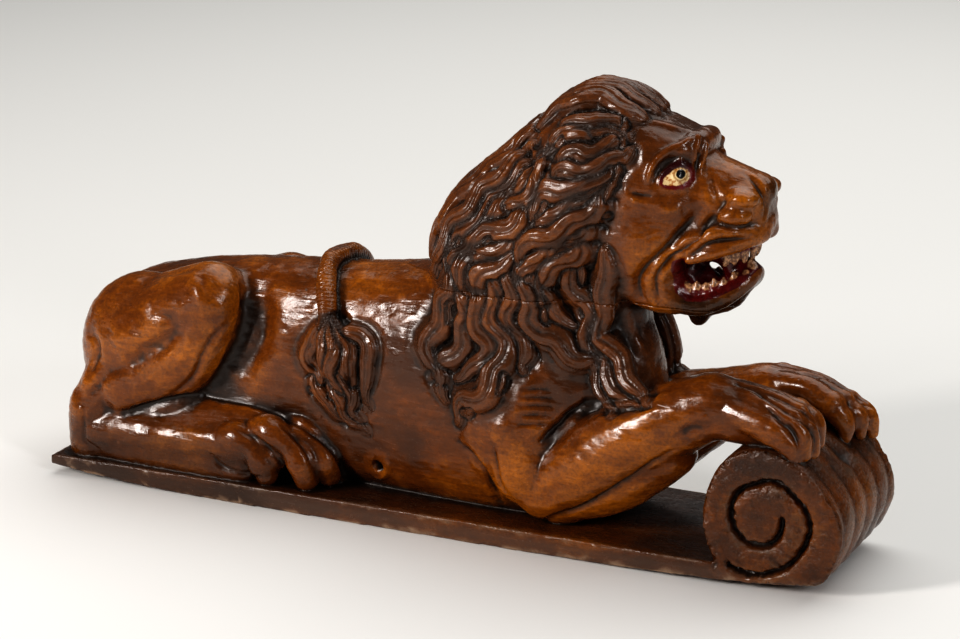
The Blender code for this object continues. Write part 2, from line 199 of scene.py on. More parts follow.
class Clay:
    """A heap of closed forms that one voxel remesh joins into one skin."""

    def __init__(self):
        self.points, self.faces, self.count = [], [], 0

    def add(self, points, faces):
        self.points.append(points)
        self.faces += [tuple(k + self.count for k in face) for face in faces]
        self.count += len(points)

    def ball(self, centre, radii):
        """An ellipsoid."""
        self.add(BALL_POINTS * np.array(radii) + np.array(centre), BALL_FACES)

    def sweep(self, path, radii, outward=None, flat=1.0, sides=18):
        """A round-ended tube along a path; flat squeezes it along the outward direction."""
        path, radii = np.array(path, float), np.array(radii, float)
        along = unit(np.gradient(path, axis=0))
        if outward is None:
            outward = np.zeros_like(path)
            last = np.array((0.0, 0.13, 1.0))
            for k, heading in enumerate(along):
                last = last - heading * last.dot(heading)
                last = last / np.linalg.norm(last)
                outward[k] = last
        across = unit(np.cross(along, outward))
        outward = unit(np.cross(across, along))
        angles = np.arange(sides) * 2 * math.pi / sides
        cosines, sines = np.cos(angles)[None, :, None], np.sin(angles)[None, :, None] * flat
        # Three smaller rings round off each end
        bends = [math.radians(bend) for bend in [-70, -45, -20] + [0] * len(path) + [20, 45, 70]]
        spots = [0] * 3 + list(range(len(path))) + [len(path) - 1] * 3
        rise = np.array([math.sin(bend) for bend in bends])[:, None]
        shrink = np.array([math.cos(bend) for bend in bends])
        centres = path[spots] + along[spots] * radii[spots, None] * rise
        sizes = (radii[spots] * shrink)[:, None, None]
        rings = centres[:, None] + sizes * (across[spots][:, None] * cosines
                                            + outward[spots][:, None] * sines)
        count = len(rings)
        points = np.vstack([rings.reshape(-1, 3), path[0] - along[0] * radii[0],
                            path[-1] + along[-1] * radii[-1]])
        faces = tube_faces(count, sides)
        first, last = count * sides, count * sides + 1
        for j in range(sides):
            after = (j + 1) % sides
            faces.append((first, after, j))
            faces.append((last, (count - 1) * sides + j, (count - 1) * sides + after))
        self.add(points, faces)

    def limb(self, stations, side=1, steps=6):
        """A tube through stations of (x, y, z, radius); a side of -1 mirrors it."""
        line = flow(np.array(stations, float) * (1, side, 1, 1), steps)
        self.sweep(line[:, :3], line[:, 3])

    def loft(self, sections, sides=40, power=2.4):
        """A trunk through sections of (x, half width, lowest, highest)."""
        rows = flow(sections, 3)
        angles = np.arange(sides) * 2 * math.pi / sides
        c = np.sign(np.cos(angles)) * np.abs(np.cos(angles)) ** (2 / power)
        s = np.sign(np.sin(angles)) * np.abs(np.sin(angles)) ** (2 / power)
        rings = [np.column_stack([np.full(sides, x), half * c, (low + high) / 2 + (high - low) / 2 * s])
                 for x, half, low, high in rows]
        faces = tube_faces(len(rings), sides)
        faces.append(tuple(range(sides))[::-1])
        faces.append(tuple((len(rings) - 1) * sides + j for j in range(sides)))
        self.add(np.vstack(rings), faces)

    def skin(self, name, voxel, soften, core=None):
        """Joins the forms, and a mesh made before, to one closed skin, and rounds its creases."""
        item = object_from(name, np.vstack(self.points), self.faces)
        face_outward(item)
        if core:
            core.select_set(True)
            bpy.ops.object.join()
        modify(item, 'REMESH', mode='VOXEL', voxel_size=voxel * MM, adaptivity=0.0)
        if soften:
            modify(item, 'SMOOTH', factor=0.5, iterations=soften)
        return item


bpy.ops.object.select_all(action='DESELECT')
bpy.ops.mesh.primitive_uv_sphere_add(segments=36, ring_count=20, radius=1.0)
first_ball = bpy.context.object
BALL_POINTS = places(first_ball) * MM
BALL_FACES = [tuple(face.vertices) for face in first_ball.data.polygons]
bpy.data.objects.remove(first_ball)


# The lion's masses

TRUNK = [
    (-344, 24, 66, 128), (-334, 42, 30, 152), (-308, 54, 6, 172), (-265, 58, 6, 184),
    (-215, 56, 6, 193), (-160, 53, 6, 199), (-90, 55, 6, 204), (-35, 60, 6, 211),
    (20, 64, 6, 218), (70, 64, 6, 222), (120, 58, 8, 216), (150, 40, 24, 196), (168, 26, 50, 170),
]
TAIL_ROOT = [(-330, -6, 140, 10), (-349, -6, 112, 10), (-351, -4, 84, 9), (-345, 0, 40, 9)]
TAIL = [
    (-168, 50, 52, 9), (-138, 58, 92, 8), (-122, 60, 148, 8), (-113, 48, 182, 8), (-110, 24, 203, 8),
    (-112, 0, 208, 8.5), (-112, -20, 206, 8.5), (-105, -40, 193, 8.5), (-99, -50, 180, 8.5),
    (-94, -57, 166, 9), (-88, -60, 150, 10),
]


# The heel and the long foot: x, y, z and radius
HIND_FOOT = [
    [(-308, 58, 104, 20), (-318, 60, 78, 22), (-326, 60, 56, 22)],
    [(-328, 62, 30, 18), (-250, 61, 29, 20), (-176, 63, 28, 17)],
    [(-331, 60, 52, 22), (-331, 60, 26, 22)],
    [(-320, 63, 42, 21), (-240, 64, 45, 20), (-180, 65, 49, 19), (-146, 62, 47, 19)],
    [(-320, 50, 44, 24), (-240, 48, 50, 27), (-180, 48, 56, 28), (-146, 50, 52, 24)],
]


def hind_leg(clay, side, ahead, drop):
    """Haunch, raised knee, shank and the long foot lying along the base."""
    clay.ball((-277, side * 40, 110 - drop), (71, 42, 72))
    clay.limb([(-277, 35, 124 - drop, 50), (-240 + ahead * 0.5, 43, 150 - drop, 41),
               (-213 + ahead, 48, 167 - drop, 34)], side)
    clay.limb([(-212 + ahead, 48, 160 - drop, 32), (-232 + ahead, 50, 118 - drop, 34),
               (-292, 56, 84, 30)], side)
    clay.ball((-329, side * 60, 58), (22, 24, 26))
    for stations in HIND_FOOT:
        clay.limb(stations, side)


HIND_TOES = [
    [(-196, 68, 50, 12), (-176, 72, 56, 15), (-160, 73, 50, 12), (-152, 72, 38, 14), (-149, 70, 27, 11)],
    [(-168, 62, 62, 11), (-146, 67, 64, 15), (-128, 68, 56, 11), (-117, 67, 42, 14), (-113, 65, 27, 11)],
    [(-140, 50, 64, 11), (-124, 54, 63, 13), (-110, 54, 54, 10), (-102, 53, 41, 13), (-99, 51, 27, 10)],
    [(-140, 37, 58, 11), (-120, 38, 57, 13), (-108, 38, 48, 10), (-101, 38, 37, 12), (-99, 37, 26, 10)],
]
# The toes of the near forepaw, then of the far one, which lies lower
FINGERS = [
    [(254, 52, 140, 14), (284, 60, 136, 13), (302, 63, 130, 12), (314, 63, 121, 10), (318, 62, 111, 6)],
    [(260, 48, 147, 11), (294, 57, 146, 9), (312, 59, 139, 9), (322, 59, 129, 8), (324, 58, 113, 5)],
    [(262, 43, 150, 10), (294, 50, 150, 8), (314, 51, 143, 8), (325, 51, 132, 7), (329, 51, 114, 5)],
    [(262, 36, 150, 9), (290, 38, 148, 8), (311, 39, 143, 8), (325, 39, 134, 8), (328, 40, 119, 6)],
]
FAR_FINGERS = [
    [(262, 36, 136, 11), (294, 29, 137, 11), (315, 26, 127, 11), (328, 26, 114, 9), (329, 26, 103, 6)],
    [(264, 41, 139, 10), (298, 40, 138, 9), (321, 39, 127, 9), (336, 38, 117, 8), (338, 38, 103, 5)],
    [(266, 48, 140, 10), (300, 50, 135, 9), (323, 50, 125, 8), (340, 50, 116, 8), (344, 50, 101, 5)],
    [(266, 54, 136, 10), (300, 60, 129, 8), (321, 61, 119, 8), (335, 61, 111, 7), (339, 61, 99, 5)],
]


def hind_toes(clay, side):
    for toe in HIND_TOES:
        clay.limb(toe, side)


def fore_leg(clay, side, reach, drop):
    """Shoulder, elbow on the base, forearm rising to the wrist and the back of the paw."""
    clay.ball((68, side * 44, 105), (52, 32, 64))
    wrist = (242 + reach, 43, 137 - drop, 27)
    clay.limb([(70, 46, 105, 32), (84, 44, 62, 32), (98, 44, 44, 24)], side)
    clay.limb([(100, 46, 44, 24), (130, 47, 68, 31), (165, 47, 94, 33), (205, 45, 119 - drop, 31),
               wrist], side)
    clay.limb([wrist, (274 + reach, 44, 133 - drop, 23), (300 + reach * 0.6, 45, 124 - drop, 18)], side)
    clay.limb([(110, 36, 40, 26), (160, 36, 62, 28), (204, 38, 92, 24)], side)


def fore_toes(clay, side, fingers):
    for finger in fingers:
        clay.limb(finger, side)
        x, y, z, r = finger[2]
        clay.ball((x, side * y, z + 1), (r * 1.25, r * 1.05, r * 1.1))


def neck_and_mane(clay):
    clay.limb([(130, 0, 309, 62), (93, 0, 264, 64), (44, 0, 215, 65), (60, 0, 160, 60)])
    clay.ball((102, 0, 270), (52, 66, 62))
    clay.ball((78, 0, 226), (62, 66, 56))
    clay.limb([(132, 0, 290, 50), (126, 0, 200, 44), (130, 0, 140, 50)])
    clay.ball((146, 0, 128), (38, 42, 74))


SKULL = [
    (118, 48, 222, 372), (150, 54, 208, 366), (175, 53, 206, 357), (193, 49, 216, 351),
    (206, 43, 238, 345), (214, 37, 252, 339), (219, 31, 258, 326),
]
MUZZLE = [
    (196, 44, 250, 338), (214, 37, 251, 332), (230, 33, 255, 326), (246, 29, 258, 321), (260, 25, 262, 317),
    (271, 17, 268, 312),
]


UPPER_LIP = [(203, 33, 258, 9), (217, 33, 262, 10), (236, 30, 267, 11), (256, 20, 271, 11), (265, 9, 271, 9)]
LOWER_LIP = [
    (198, 30, 217, 8), (213, 28, 211, 8), (226, 26, 212, 8), (238, 23, 218, 8), (250, 16, 227, 8),
    (256, 7, 234, 8), (257, 0, 236, 8),
]
FOREHEAD_BAR = [
    (205, -32, 332, 9), (211, -18, 338, 9.5), (214, 0, 340, 9.5), (211, 18, 337, 9.5), (205, 32, 331, 9),
]
JAW = [(176, 0, 228, 30), (200, 0, 214, 17), (220, 0, 211, 14), (238, 0, 216, 12), (251, 0, 229, 9)]


def head(clay):
    """Skull, cheeks and muzzle, the upper lips and the lower jaw."""
    clay.loft(SKULL, power=2.8)
    clay.loft(MUZZLE, power=2.1)
    for side in (NEAR, FAR):
        clay.ball((172, side * 23, 262), (39, 32, 57))
        clay.limb([(166, 24, 232, 25), (186, 22, 221, 21), (199, 21, 217, 17)], side)
        clay.limb(UPPER_LIP, side)
        clay.limb(LOWER_LIP, side)
        clay.ball((254, side * 25, 300), (12, 13, 10))
        clay.ball((248, side * 28, 287), (13, 13, 9))
        clay.ball((242, side * 19, 301), (9, 10, 7))
    clay.ball((255.5, 0, 303), (18.5, 17, 15))
    clay.limb(FOREHEAD_BAR)
    clay.ball((262, 0, 278), (12, 14, 12))
    clay.limb(JAW)
    clay.limb([(218, 0, 210, 13), (214, 0, 202, 12), (212, 0, 194, 8)])
    clay.limb([(188, 0, 238, 15), (210, 0, 231, 11), (226, 0, 225, 7)])
    clay.limb([(200, 0, 254, 13), (226, 0, 252, 11), (240, 0, 247, 11)])
    clay.limb([(243, 0, 238, 11), (254, 0, 240, 8)])


# The eye: its middle, and the directions along, up and out of the opening
EYE = np.array((207.0, -43.0, 317.5))
EYE_ALONG = np.array((0.85, 0.355, 0.39))
EYE_UP = np.array((-0.425, 0.024, 0.905))
EYE_OUT = np.array((0.312, -0.934, 0.171))
LOWER_TEETH = [(213, 25, 227), (219, 24, 229), (226, 22, 229), (232, 21, 233), (239, 19, 234), (246, 15, 238)]
UPPER_TEETH = [(243, 24, 254), (249, 20, 255), (255, 14, 256), (258, 5, 257)]
BROW = [(186, 48, 314), (189, 49, 322), (194, 49, 331), (203, 48, 339), (212, 46, 344), (219, 42, 349)]
HOOKS = [[(223, -36, 350), (222, -37, 342), (220, -37, 331)],
         [(226, -28, 342), (225, -30, 332), (223, -33, 321)]]
# The far brow and its hooks lie further back and lower
FAR_BROW_SHIFT = (2, 0, 6)
FAR_HOOK_SHIFT = (5, 0, 15)
NOSTRIL = [(256, 12, 311, 3), (260, 12, 308, 3.5), (263, 10, 304, 3)]
PADS = [(254, 23, 301, 12), (249, 27, 288, 12)]
ROLLS = [[(220, 39, 265, 4), (230, 38, 270, 6), (241, 35, 275, 6.5), (252, 29, 276, 6), (262, 20, 278, 4)],
         [(217, 37, 251, 4), (230, 36, 256, 5.5), (243, 33, 261, 5.5), (254, 26, 264, 5), (262, 17, 267, 4)]]


def face(clay, skin):
    """Brows, eyes and lids, nose and teeth, laid on the head's first skin."""
    for side in (NEAR, FAR):
        mirror = (1, -side, 1)
        middle = skin.seen([EYE], side)[0]
        clay.sweep([middle - (EYE_OUT * mirror) * k for k in (12, 6.5)], [8, 9], sides=24)
        turns = np.radians(np.arange(0, 361, 20))[:, None]
        ring = skin.seen(EYE + EYE_ALONG * 13.5 * np.cos(turns) + EYE_UP * 9.3 * np.sin(turns), side)
        clay.sweep(ring - EYE_OUT * mirror * 0.6, 1.9 + 0.5 * np.sin(turns[:, 0]))
        brow = np.array(BROW) if side == NEAR else np.array(BROW[:5]) - FAR_BROW_SHIFT
        brow = skin.seen(brow * (1, -1, 1), side) + EYE_OUT * mirror * 0.3
        clay.limb(np.column_stack([brow, (2.5, 3, 3.5, 3.5, 3.5, 3)[:len(brow)]]))
        for hook in HOOKS:
            line = np.array(hook) - np.array(FAR_HOOK_SHIFT) * (side == FAR)
            line = skin.seen(line, side) + EYE_OUT * mirror * 0.8
            clay.limb(np.column_stack([line, (3.2, 2.8, 2)]))
        clay.limb(NOSTRIL, side)
        for x, y, z, r in PADS:
            clay.ball((x, side * y, z), (r * 1.2, r, r * 0.75))
        for roll in ROLLS:
            clay.limb(roll, side)
        for x, y, z in LOWER_TEETH:
            clay.limb([(x, y, z - 9, 3.8), (x, y, z - 3, 3.0), (x, y, z, 2.1)], side, steps=2)
        for x, y, z in UPPER_TEETH:
            clay.limb([(x, y, z + 3, 3.4), (x, y, z - 3, 3.1), (x - 1, y, z - 7, 2.3)], side, steps=2)


# Locks of the mane on each flank: radius, start height of the flank, then x and z from root to tip
SIDE_LOCKS = [
    (9, 169, 386, 148, 389, 121, 384, 91, 365),
    (9, 165, 369, 153, 376, 131, 378, 120, 369, 101, 355, 76, 340),
    (9, 174, 371, 164, 354, 146, 341, 130, 339, 117, 330, 117, 322),
    (10, 173, 344, 160, 329, 139, 324, 121, 319, 110, 311),
    (11, 165, 316, 146, 306, 124, 307, 107, 303, 97, 288, 92, 273),
    (10, 158, 299, 144, 292, 126, 291, 110, 282, 93, 268),
    (11, 155, 287, 141, 276, 125, 269, 105, 264, 88, 249, 82, 230),
    (10, 151, 273, 136, 260, 118, 253, 97, 242, 88, 227, 91, 213),
    (11, 150, 262, 138, 244, 124, 234, 107, 225, 97, 211),
    (9, 151, 249, 146, 227, 155, 196, 172, 175, 188, 151),
    (11, 80, 344, 58, 324, 47, 306, 32, 288, 17, 268, 6, 249, 9, 236),
    (10, 96, 350, 76, 334, 67, 314, 61, 296, 49, 281, 35, 266, 19, 248, 10, 229),
    (9, 84, 335, 87, 319, 96, 309, 93, 300, 78, 296, 66, 287, 61, 273),
    (11, 88, 294, 86, 283, 66, 268, 45, 260, 32, 251, 19, 233, 16, 211),
    (11, 88, 273, 79, 255, 53, 247, 32, 237, 21, 224, 27, 212, 39, 208),
    (10, 80, 247, 61, 235, 50, 215, 45, 204),
    (10, 14, 218, 17, 204, 4, 185, 2, 163, 8, 136, 17, 115),
    (9, 24, 205, 38, 189, 33, 173, 19, 154, 10, 137, 15, 128),
    (10, 45, 208, 50, 182, 55, 167, 43, 150, 29, 136),
    (11, 62, 210, 65, 184, 72, 161, 64, 141, 50, 126, 32, 116, 26, 98),
    (9, 75, 211, 77, 186, 87, 167, 90, 158),
    (10, 90, 210, 97, 189, 117, 179, 144, 171, 147, 161, 158, 141),
    (8, 107, 211, 107, 198, 120, 197, 134, 189),
    (10, 137, 216, 142, 195, 150, 175, 164, 161, 183, 145),
]
FLANK = 74
FAR_LOCK_DRAW = 0.94
# A lock that starts this near the face's border is begun on it; one that starts at the seam, above it
BORDER_REACH, BORDER_HEIGHTS = (-16, 10), (225, 340)
SEAM_HEIGHTS = (203, 222)
# Locks over the crown and down the nape: radius, then x, y and z
CROWN_LOCKS = [
    (9, 170, 7, 352, 152, 8, 374, 112, 8, 384, 70, 8, 350),
    (9, 166, 22, 354, 146, 25, 370, 110, 27, 378, 72, 26, 342),
    (10, 66, 8, 350, 34, 8, 318, -2, 8, 278, -32, 10, 232),
    (10, 70, 26, 342, 40, 28, 308, 8, 30, 264, -16, 30, 226),
    (10, 78, 44, 330, 50, 48, 296, 20, 50, 256, -4, 50, 218),
]
THROAT_LOCK = [(140, 48, 200, 9), (157, 52, 176, 10), (166, 54, 150, 11), (170, 54, 118, 9)]
TUFT_FLANK = 66
# Locks of the tail's tuft on the near flank: radius, then x and z
TUFT = [
    (9, -98, 176, -111, 158, -117, 136, -107, 116, -112, 102),
    (9, -96, 174, -97, 152, -104, 132, -94, 114, -97, 96),
    (9, -92, 172, -82, 152, -90, 132, -82, 112, -86, 94),
    (9, -88, 174, -70, 156, -74, 138, -66, 120, -74, 102),
    (8, -84, 172, -63, 154, -56, 136, -62, 118, -58, 98),
    (8, -98, 116, -88, 100, -80, 84, -62, 73),
    (7, -110, 116, -104, 98, -92, 88, -80, 78),
    (6, -80, 122, -70, 104, -74, 90, -66, 82),
]


class Hair:
    """Locks laid on a skin. Each one's middle line is kept, to carve its strands later."""

    def __init__(self, clay, skin):
        self.clay, self.skin = clay, skin
        self.points, self.along, self.outward, self.radii = [], [], [], []

    def lock(self, knots, radius, sink=0.22, root=0.65, tip=0.3, wave=0.38, length=46.0):
        """A lock that swells in its middle and waves from side to side."""
        path, outward = self.skin.nearest(flow(knots, 6))
        share = np.linspace(0, 1, len(path))
        swell = (1.15 - (root + tip) / 2) * np.sin(math.pi * share) ** 0.8
        radii = radius * (root * (1 - share) + tip * share + swell)
        for _ in range(3):
            outward[1:-1] = unit(outward[:-2] + outward[1:-1] * 2 + outward[2:])
            path[1:-1] = (path[:-2] + path[1:-1] * 2 + path[2:]) / 4
        along = np.gradient(path, axis=0)
        beat = np.cumsum(np.linalg.norm(along, axis=1)) * 2 * math.pi / length + path[0, 2] / 9
        sway = np.sin(beat) * wave * radius * np.sin(math.pi * share) ** 0.5
        path = path + unit(np.cross(along, outward)) * sway[:, None] - outward * (radii * sink)[:, None]
        self.clay.sweep(path, radii, outward, 0.8)
        self.keep(path, outward, radii)

    def keep(self, path, outward, radii):
        fine = flow(np.column_stack([path, outward, radii]), 3)
        self.points.append(fine[:, :3])
        self.outward.append(unit(fine[:, 3:6]))
        self.along.append(unit(np.gradient(fine[:, :3], axis=0)))
        self.radii.append(fine[:, 6])

    def around(self, points):
        """How far points are from the nearest lock's middle line and from the next lock's, in their radii,
        their angle round the nearest one, and its radius."""
        first, second = np.full(len(points), 9.0), np.full(len(points), 9.0)
        angle, size = np.zeros(len(points)), np.zeros(len(points))
        for line, along, outward, radii in zip(self.points, self.along, self.outward, self.radii):
            spots = close_to(line, points, 22)
            if not len(spots):
                continue
            offset = points[spots][:, None] - line[None]
            ratio = np.linalg.norm(offset, axis=2) / np.maximum(radii, 4.5)
            chosen = ratio.argmin(axis=1)
            ratio = ratio.min(axis=1)
            offset = offset[np.arange(len(spots)), chosen]
            across = np.cross(along, outward)[chosen]
            nearer = ratio < first[spots]
            second[spots] = np.where(nearer, first[spots], np.minimum(second[spots], ratio))
            turned = np.arctan2((offset * across).sum(axis=1), (offset * outward[chosen]).sum(axis=1))
            angle[spots] = np.where(nearer, turned, angle[spots])
            size[spots] = np.where(nearer, radii[chosen], size[spots])
            first[spots] = np.minimum(first[spots], ratio)
        return first, second, angle, size


class Carver:
    """Carves a skin: moves its points along their normals near lines drawn on it."""

    def __init__(self, item):
        self.item = item
        self.skin = Skin(item)
        self.points = places(item)
        self.normals = normals(item)
        self.lift = np.zeros(len(self.points))

    def line(self, knots, height, width, shift=(0, 0, 0), sides=(NEAR, FAR)):
        """Raises a ridge along a line, or cuts a groove where height is negative."""
        for side in sides:
            path = flow(knots, 6) + (shift if side == FAR else (0, 0, 0))
            path = flow(self.skin.seen(path, side), 4)
            spots = close_to(path, self.points, width * 2.4)
            apart = np.linalg.norm(self.points[spots][:, None] - path[None], axis=2)
            share = apart.argmin(axis=1) / max(len(path) - 1, 1)
            fade = np.sin(math.pi * np.clip(share, 0.04, 0.96)) ** 0.4
            self.lift[spots] += height * np.exp(-(apart.min(axis=1) / width) ** 2) * fade

    def strands(self, hair):
        """Deepens the gaps between the locks and cuts the strands of every lock."""
        first, second, angle, size = hair.around(self.points)
        on_lock = clamp((1.6 - first) / 0.3)
        valley = 1 - clamp(np.abs(np.sin(angle * 2.6 + 0.5)) * 1.4)
        self.lift -= on_lock * size * 0.14 * valley
        gap = np.exp(-((second - first) / 0.17) ** 2) * clamp((1.7 - second) / 0.5)
        outside = clamp((first - 1.05) / 0.3) * clamp((1.9 - first) / 0.4)
        self.lift -= 2.4 * gap + 0.8 * outside

    def unevenness(self, broad, fine):
        """The slight waviness that gouges leave."""
        for k, (x, y, z) in enumerate(self.points):
            self.lift[k] += (broad * noise.noise((x / 17, y / 13, z / 13))
                             + fine * noise.noise((x / 6.5, y / 4.5, z / 4.5)))

    def apply(self):
        move_points(self.item, self.points + self.normals * self.lift[:, None])


def rooted(row):
    """A lock's x and z, begun higher: along the face's border, or above the seam."""
    line = list(zip(row[1::2], row[2::2]))
    x, z = line[0]
    border = np.array(BORDER)[::-1]
    edge = np.interp(z, border[:, 2], border[:, 0])
    if BORDER_REACH[0] < x - edge < BORDER_REACH[1] and BORDER_HEIGHTS[0] < z < BORDER_HEIGHTS[1]:
        line = [(np.interp(z + 17, border[:, 2], border[:, 0]) - 4, z + 17), (edge - 5, z + 4)] + line[1:]
    elif SEAM_HEIGHTS[0] < z < SEAM_HEIGHTS[1]:
        line = [(x - 6, z + 26)] + line
    return line


def mane(hair):
    """The locks of both flanks, a thin one beside every third, one round the face, and the crown's."""
    for side in (NEAR, FAR):
        draw = 1.0 if side == NEAR else FAR_LOCK_DRAW
        for k, row in enumerate(SIDE_LOCKS):
            line = [(x * draw, side * FLANK, z) for x, z in rooted(row)]
            hair.lock(line, row[0] * 1.22, sink=0.14 + k % 3 * 0.08, root=0.5)
            if k % 3 == 1:
                beside = np.array(line[:-1]) + (3, 0, -7)
                hair.lock(beside, 5.2, sink=-0.2, root=0.5, wave=0.6, length=38.0)
        hair.lock(np.array(BORDER) * (1, -side, 1) + (-3, 0, 0), 5.0, sink=0.0, wave=0.15, length=60.0)
    for row in CROWN_LOCKS:
        for side in (NEAR, FAR):
            line = [(x, side * y, z) for x, y, z in zip(row[1::3], row[2::3], row[3::3])]
            hair.lock(line, row[0] * 1.2, sink=-0.1, length=40.0)


def tail(clay, hair):
    clay.limb(TAIL_ROOT)
    clay.limb(TAIL)
    for row in TUFT:
        line = [(x, NEAR * TUFT_FLANK, z) for x, z in zip(row[1::2], row[2::2])]
        hair.lock(line, row[0], sink=0.15, root=0.9, tip=0.25, wave=0.3, length=36.0)


# Lines carved on the head, both sides: points on the near side, height and width
FACE_LINES = [
    ([(224, -33, 292), (219, -43, 282), (211, -46, 272), (198, -46, 256), (183, -44, 240), (176, -42, 228),
      (175, -36, 214)], -4.6, 3.8),
    ([(192, -46, 250), (183, -44, 240), (176, -42, 228), (175, -38, 216), (178, -34, 206)], -4.0, 8.0),
    ([(240, -27, 297), (232, -32, 283), (226, -41, 273), (214, -43, 260), (200, -42, 246), (192, -40, 234),
      (189, -34, 222), (190, -30, 210)], -4.2, 3.0),
    ([(222, -44, 257), (236, -43, 267), (250, -37, 270), (263, -27, 271)], -3.6, 2.4),
    ([(228, -43, 271), (240, -40, 276), (252, -34, 277), (262, -26, 278)], 1.6, 4.0),
    ([(240, -40, 284), (250, -37, 281), (260, -32, 281), (268, -24, 283)], -2.6, 2.8),
    ([(249, -37, 296), (257, -34, 295), (266, -28, 296)], -1.4, 2.4),
    ([(252, -36, 290), (258, -34, 289), (264, -30, 290)], 1.8, 4.5),
    ([(256, -32, 302), (261, -30, 302), (266, -26, 302)], 1.8, 4.5),
    ([(254, -13, 318), (262, -16, 312), (268, -16, 304), (271, -14, 294), (269, -14, 285)], -3.0, 2.2),
    ([(258, -10, 318), (266, -12, 313), (272, -12, 305)], 0.8, 2.2),
    ([(172, -51, 303), (182, -52, 302), (192, -52, 303)], -2.4, 2.2),
    ([(173, -52, 298), (180, -52, 297)], 1.6, 3.0),
    ([(197, -50, 296), (206, -50, 293), (215, -46, 296)], 3.2, 6.5),
    ([(192, -49, 314), (197, -48, 324), (205, -46, 331), (213, -44, 334), (219, -40, 330)], -4.0, 3.2),
    ([(222, -34, 338), (222, -35, 328), (220, -36, 318)], -2.0, 2.0),
    ([(228, -24, 318), (232, -26, 308), (236, -28, 298)], -1.6, 3.0),
    ([(222, -26, 312), (228, -30, 300), (224, -36, 292)], 1.2, 5.0),
    ([(162, -50, 212), (168, -50, 196), (178, -50, 178), (188, -50, 160)], -2.6, 5.0),
    ([(176, -46, 208), (182, -44, 192), (190, -42, 174)], -1.6, 4.0),
]
BORDER = [
    (160, -32, 358), (165, -42, 346), (166, -55, 329), (164, -61, 312), (155, -63, 291), (147, -63, 274),
    (137, -57, 244), (131, -45, 218), (138, -47, 195), (152, -49, 172), (170, -56, 152),
]
# Lines carved on the hind legs and the belly; the far ones lie further forward and lower
FAR_HIND_SHIFT = (14, 0, -10)
HIND_LINES = [
    ([(-182, -47, 184), (-179, -47, 165), (-180, -50, 148), (-186, -53, 130), (-198, -58, 108),
      (-217, -59, 88)], -4.5, 5.0),
    ([(-170, -47, 178), (-167, -47, 160), (-168, -50, 142), (-176, -53, 122), (-190, -58, 102)], -8.0, 13.0),
    ([(-188, -67, 152), (-197, -73, 142), (-206, -77, 126), (-214, -76, 108), (-231, -76, 91),
      (-250, -75, 78)], -2.2, 3.0),
    ([(-285, -78, 64), (-264, -75, 71), (-237, -70, 80), (-218, -60, 85)], -5.5, 4.2),
    ([(-215, -60, 84), (-192, -59, 83), (-160, -58, 81), (-130, -56, 72), (-105, -56, 61), (-91, -54, 48),
      (-87, -49, 30)], -3.5, 3.0),
    ([(-168, -82, 66), (-150, -84, 62), (-138, -84, 54), (-131, -78, 42), (-128, -70, 28)], -2.4, 2.6),
    ([(-132, -68, 70), (-118, -74, 64), (-107, -76, 55), (-101, -76, 43), (-98, -74, 28)], -2.4, 2.6),
    ([(-252, -80, 160), (-236, -82, 156), (-231, -82, 147), (-239, -81, 138), (-258, -82, 125),
      (-272, -82, 113)], -3.2, 7.5),
    ([(-215, -72, 190), (-207, -77, 181), (-201, -79, 170)], 2.4, 5.0),
    ([(-326, -68, 128), (-315, -74, 122), (-314, -75, 110), (-326, -67, 90)], -3.0, 4.5),
    ([(-297, -81, 100), (-318, -73, 78), (-326, -70, 68)], -2.2, 4.0),
    ([(-325, -82, 65), (-326, -82, 48), (-326, -82, 34), (-316, -81, 29)], -1.6, 1.8),
    ([(-267, -52, 181), (-253, -54, 186), (-220, -61, 196)], -1.2, 3.5),
    ([(-196, -84, 40), (-188, -82, 32), (-172, -82, 28), (-150, -80, 27)], -2.6, 2.4),
]
FORE_LINES = [
    ([(105, -64, 93), (115, -60, 104), (126, -56, 117), (137, -51, 126)], -6.0, 3.2),
    ([(137, -51, 126), (156, -63, 133), (176, -65, 139), (190, -63, 144), (211, -57, 151)], -2.5, 3.0),
    ([(66, -75, 86), (69, -74, 67), (71, -70, 52), (78, -66, 40)], -2.4, 3.0),
    ([(30, -63, 80), (42, -65, 71), (52, -63, 58), (56, -55, 44), (57, -45, 28)], -4.0, 4.0),
    ([(99, -50, 20), (116, -60, 30), (140, -62, 42), (163, -66, 59), (185, -67, 76), (201, -68, 90),
      (217, -68, 102)], -3.0, 2.6),
    ([(108, -71, 46), (123, -76, 60), (143, -77, 66)], -1.4, 4.0),
    ([(226, -70, 118), (234, -70, 124), (246, -68, 128)], -3.0, 5.0),
]
PAW_LINES = [
    ([(290, -66, 153), (300, -69, 148), (309, -70, 141), (316, -69, 136), (321, -69, 128),
      (323, -70, 117)], -2.4, 2.2),
    ([(262, -44, 158), (278, -50, 157), (294, -58, 153), (312, -60, 145), (325, -59, 138), (332, -59, 128),
      (333, -60, 118)], -2.4, 2.0),
    ([(276, -44, 157), (292, -50, 155), (308, -52, 151), (321, -50, 144), (332, -52, 136),
      (337, -54, 124)], -2.2, 2.0),
]
FAR_PAW_LINES = [
    [(270, -37, 152), (288, -33, 149), (304, -33, 141), (318, -33, 133), (331, -32, 124), (336, -32, 110)],
    [(270, -45, 152), (292, -45, 147), (312, -45, 137), (330, -44, 128), (341, -44, 120), (344, -44, 106)],
    [(274, -53, 148), (296, -55, 140), (316, -56, 130), (332, -56, 121), (342, -56, 110)],
]
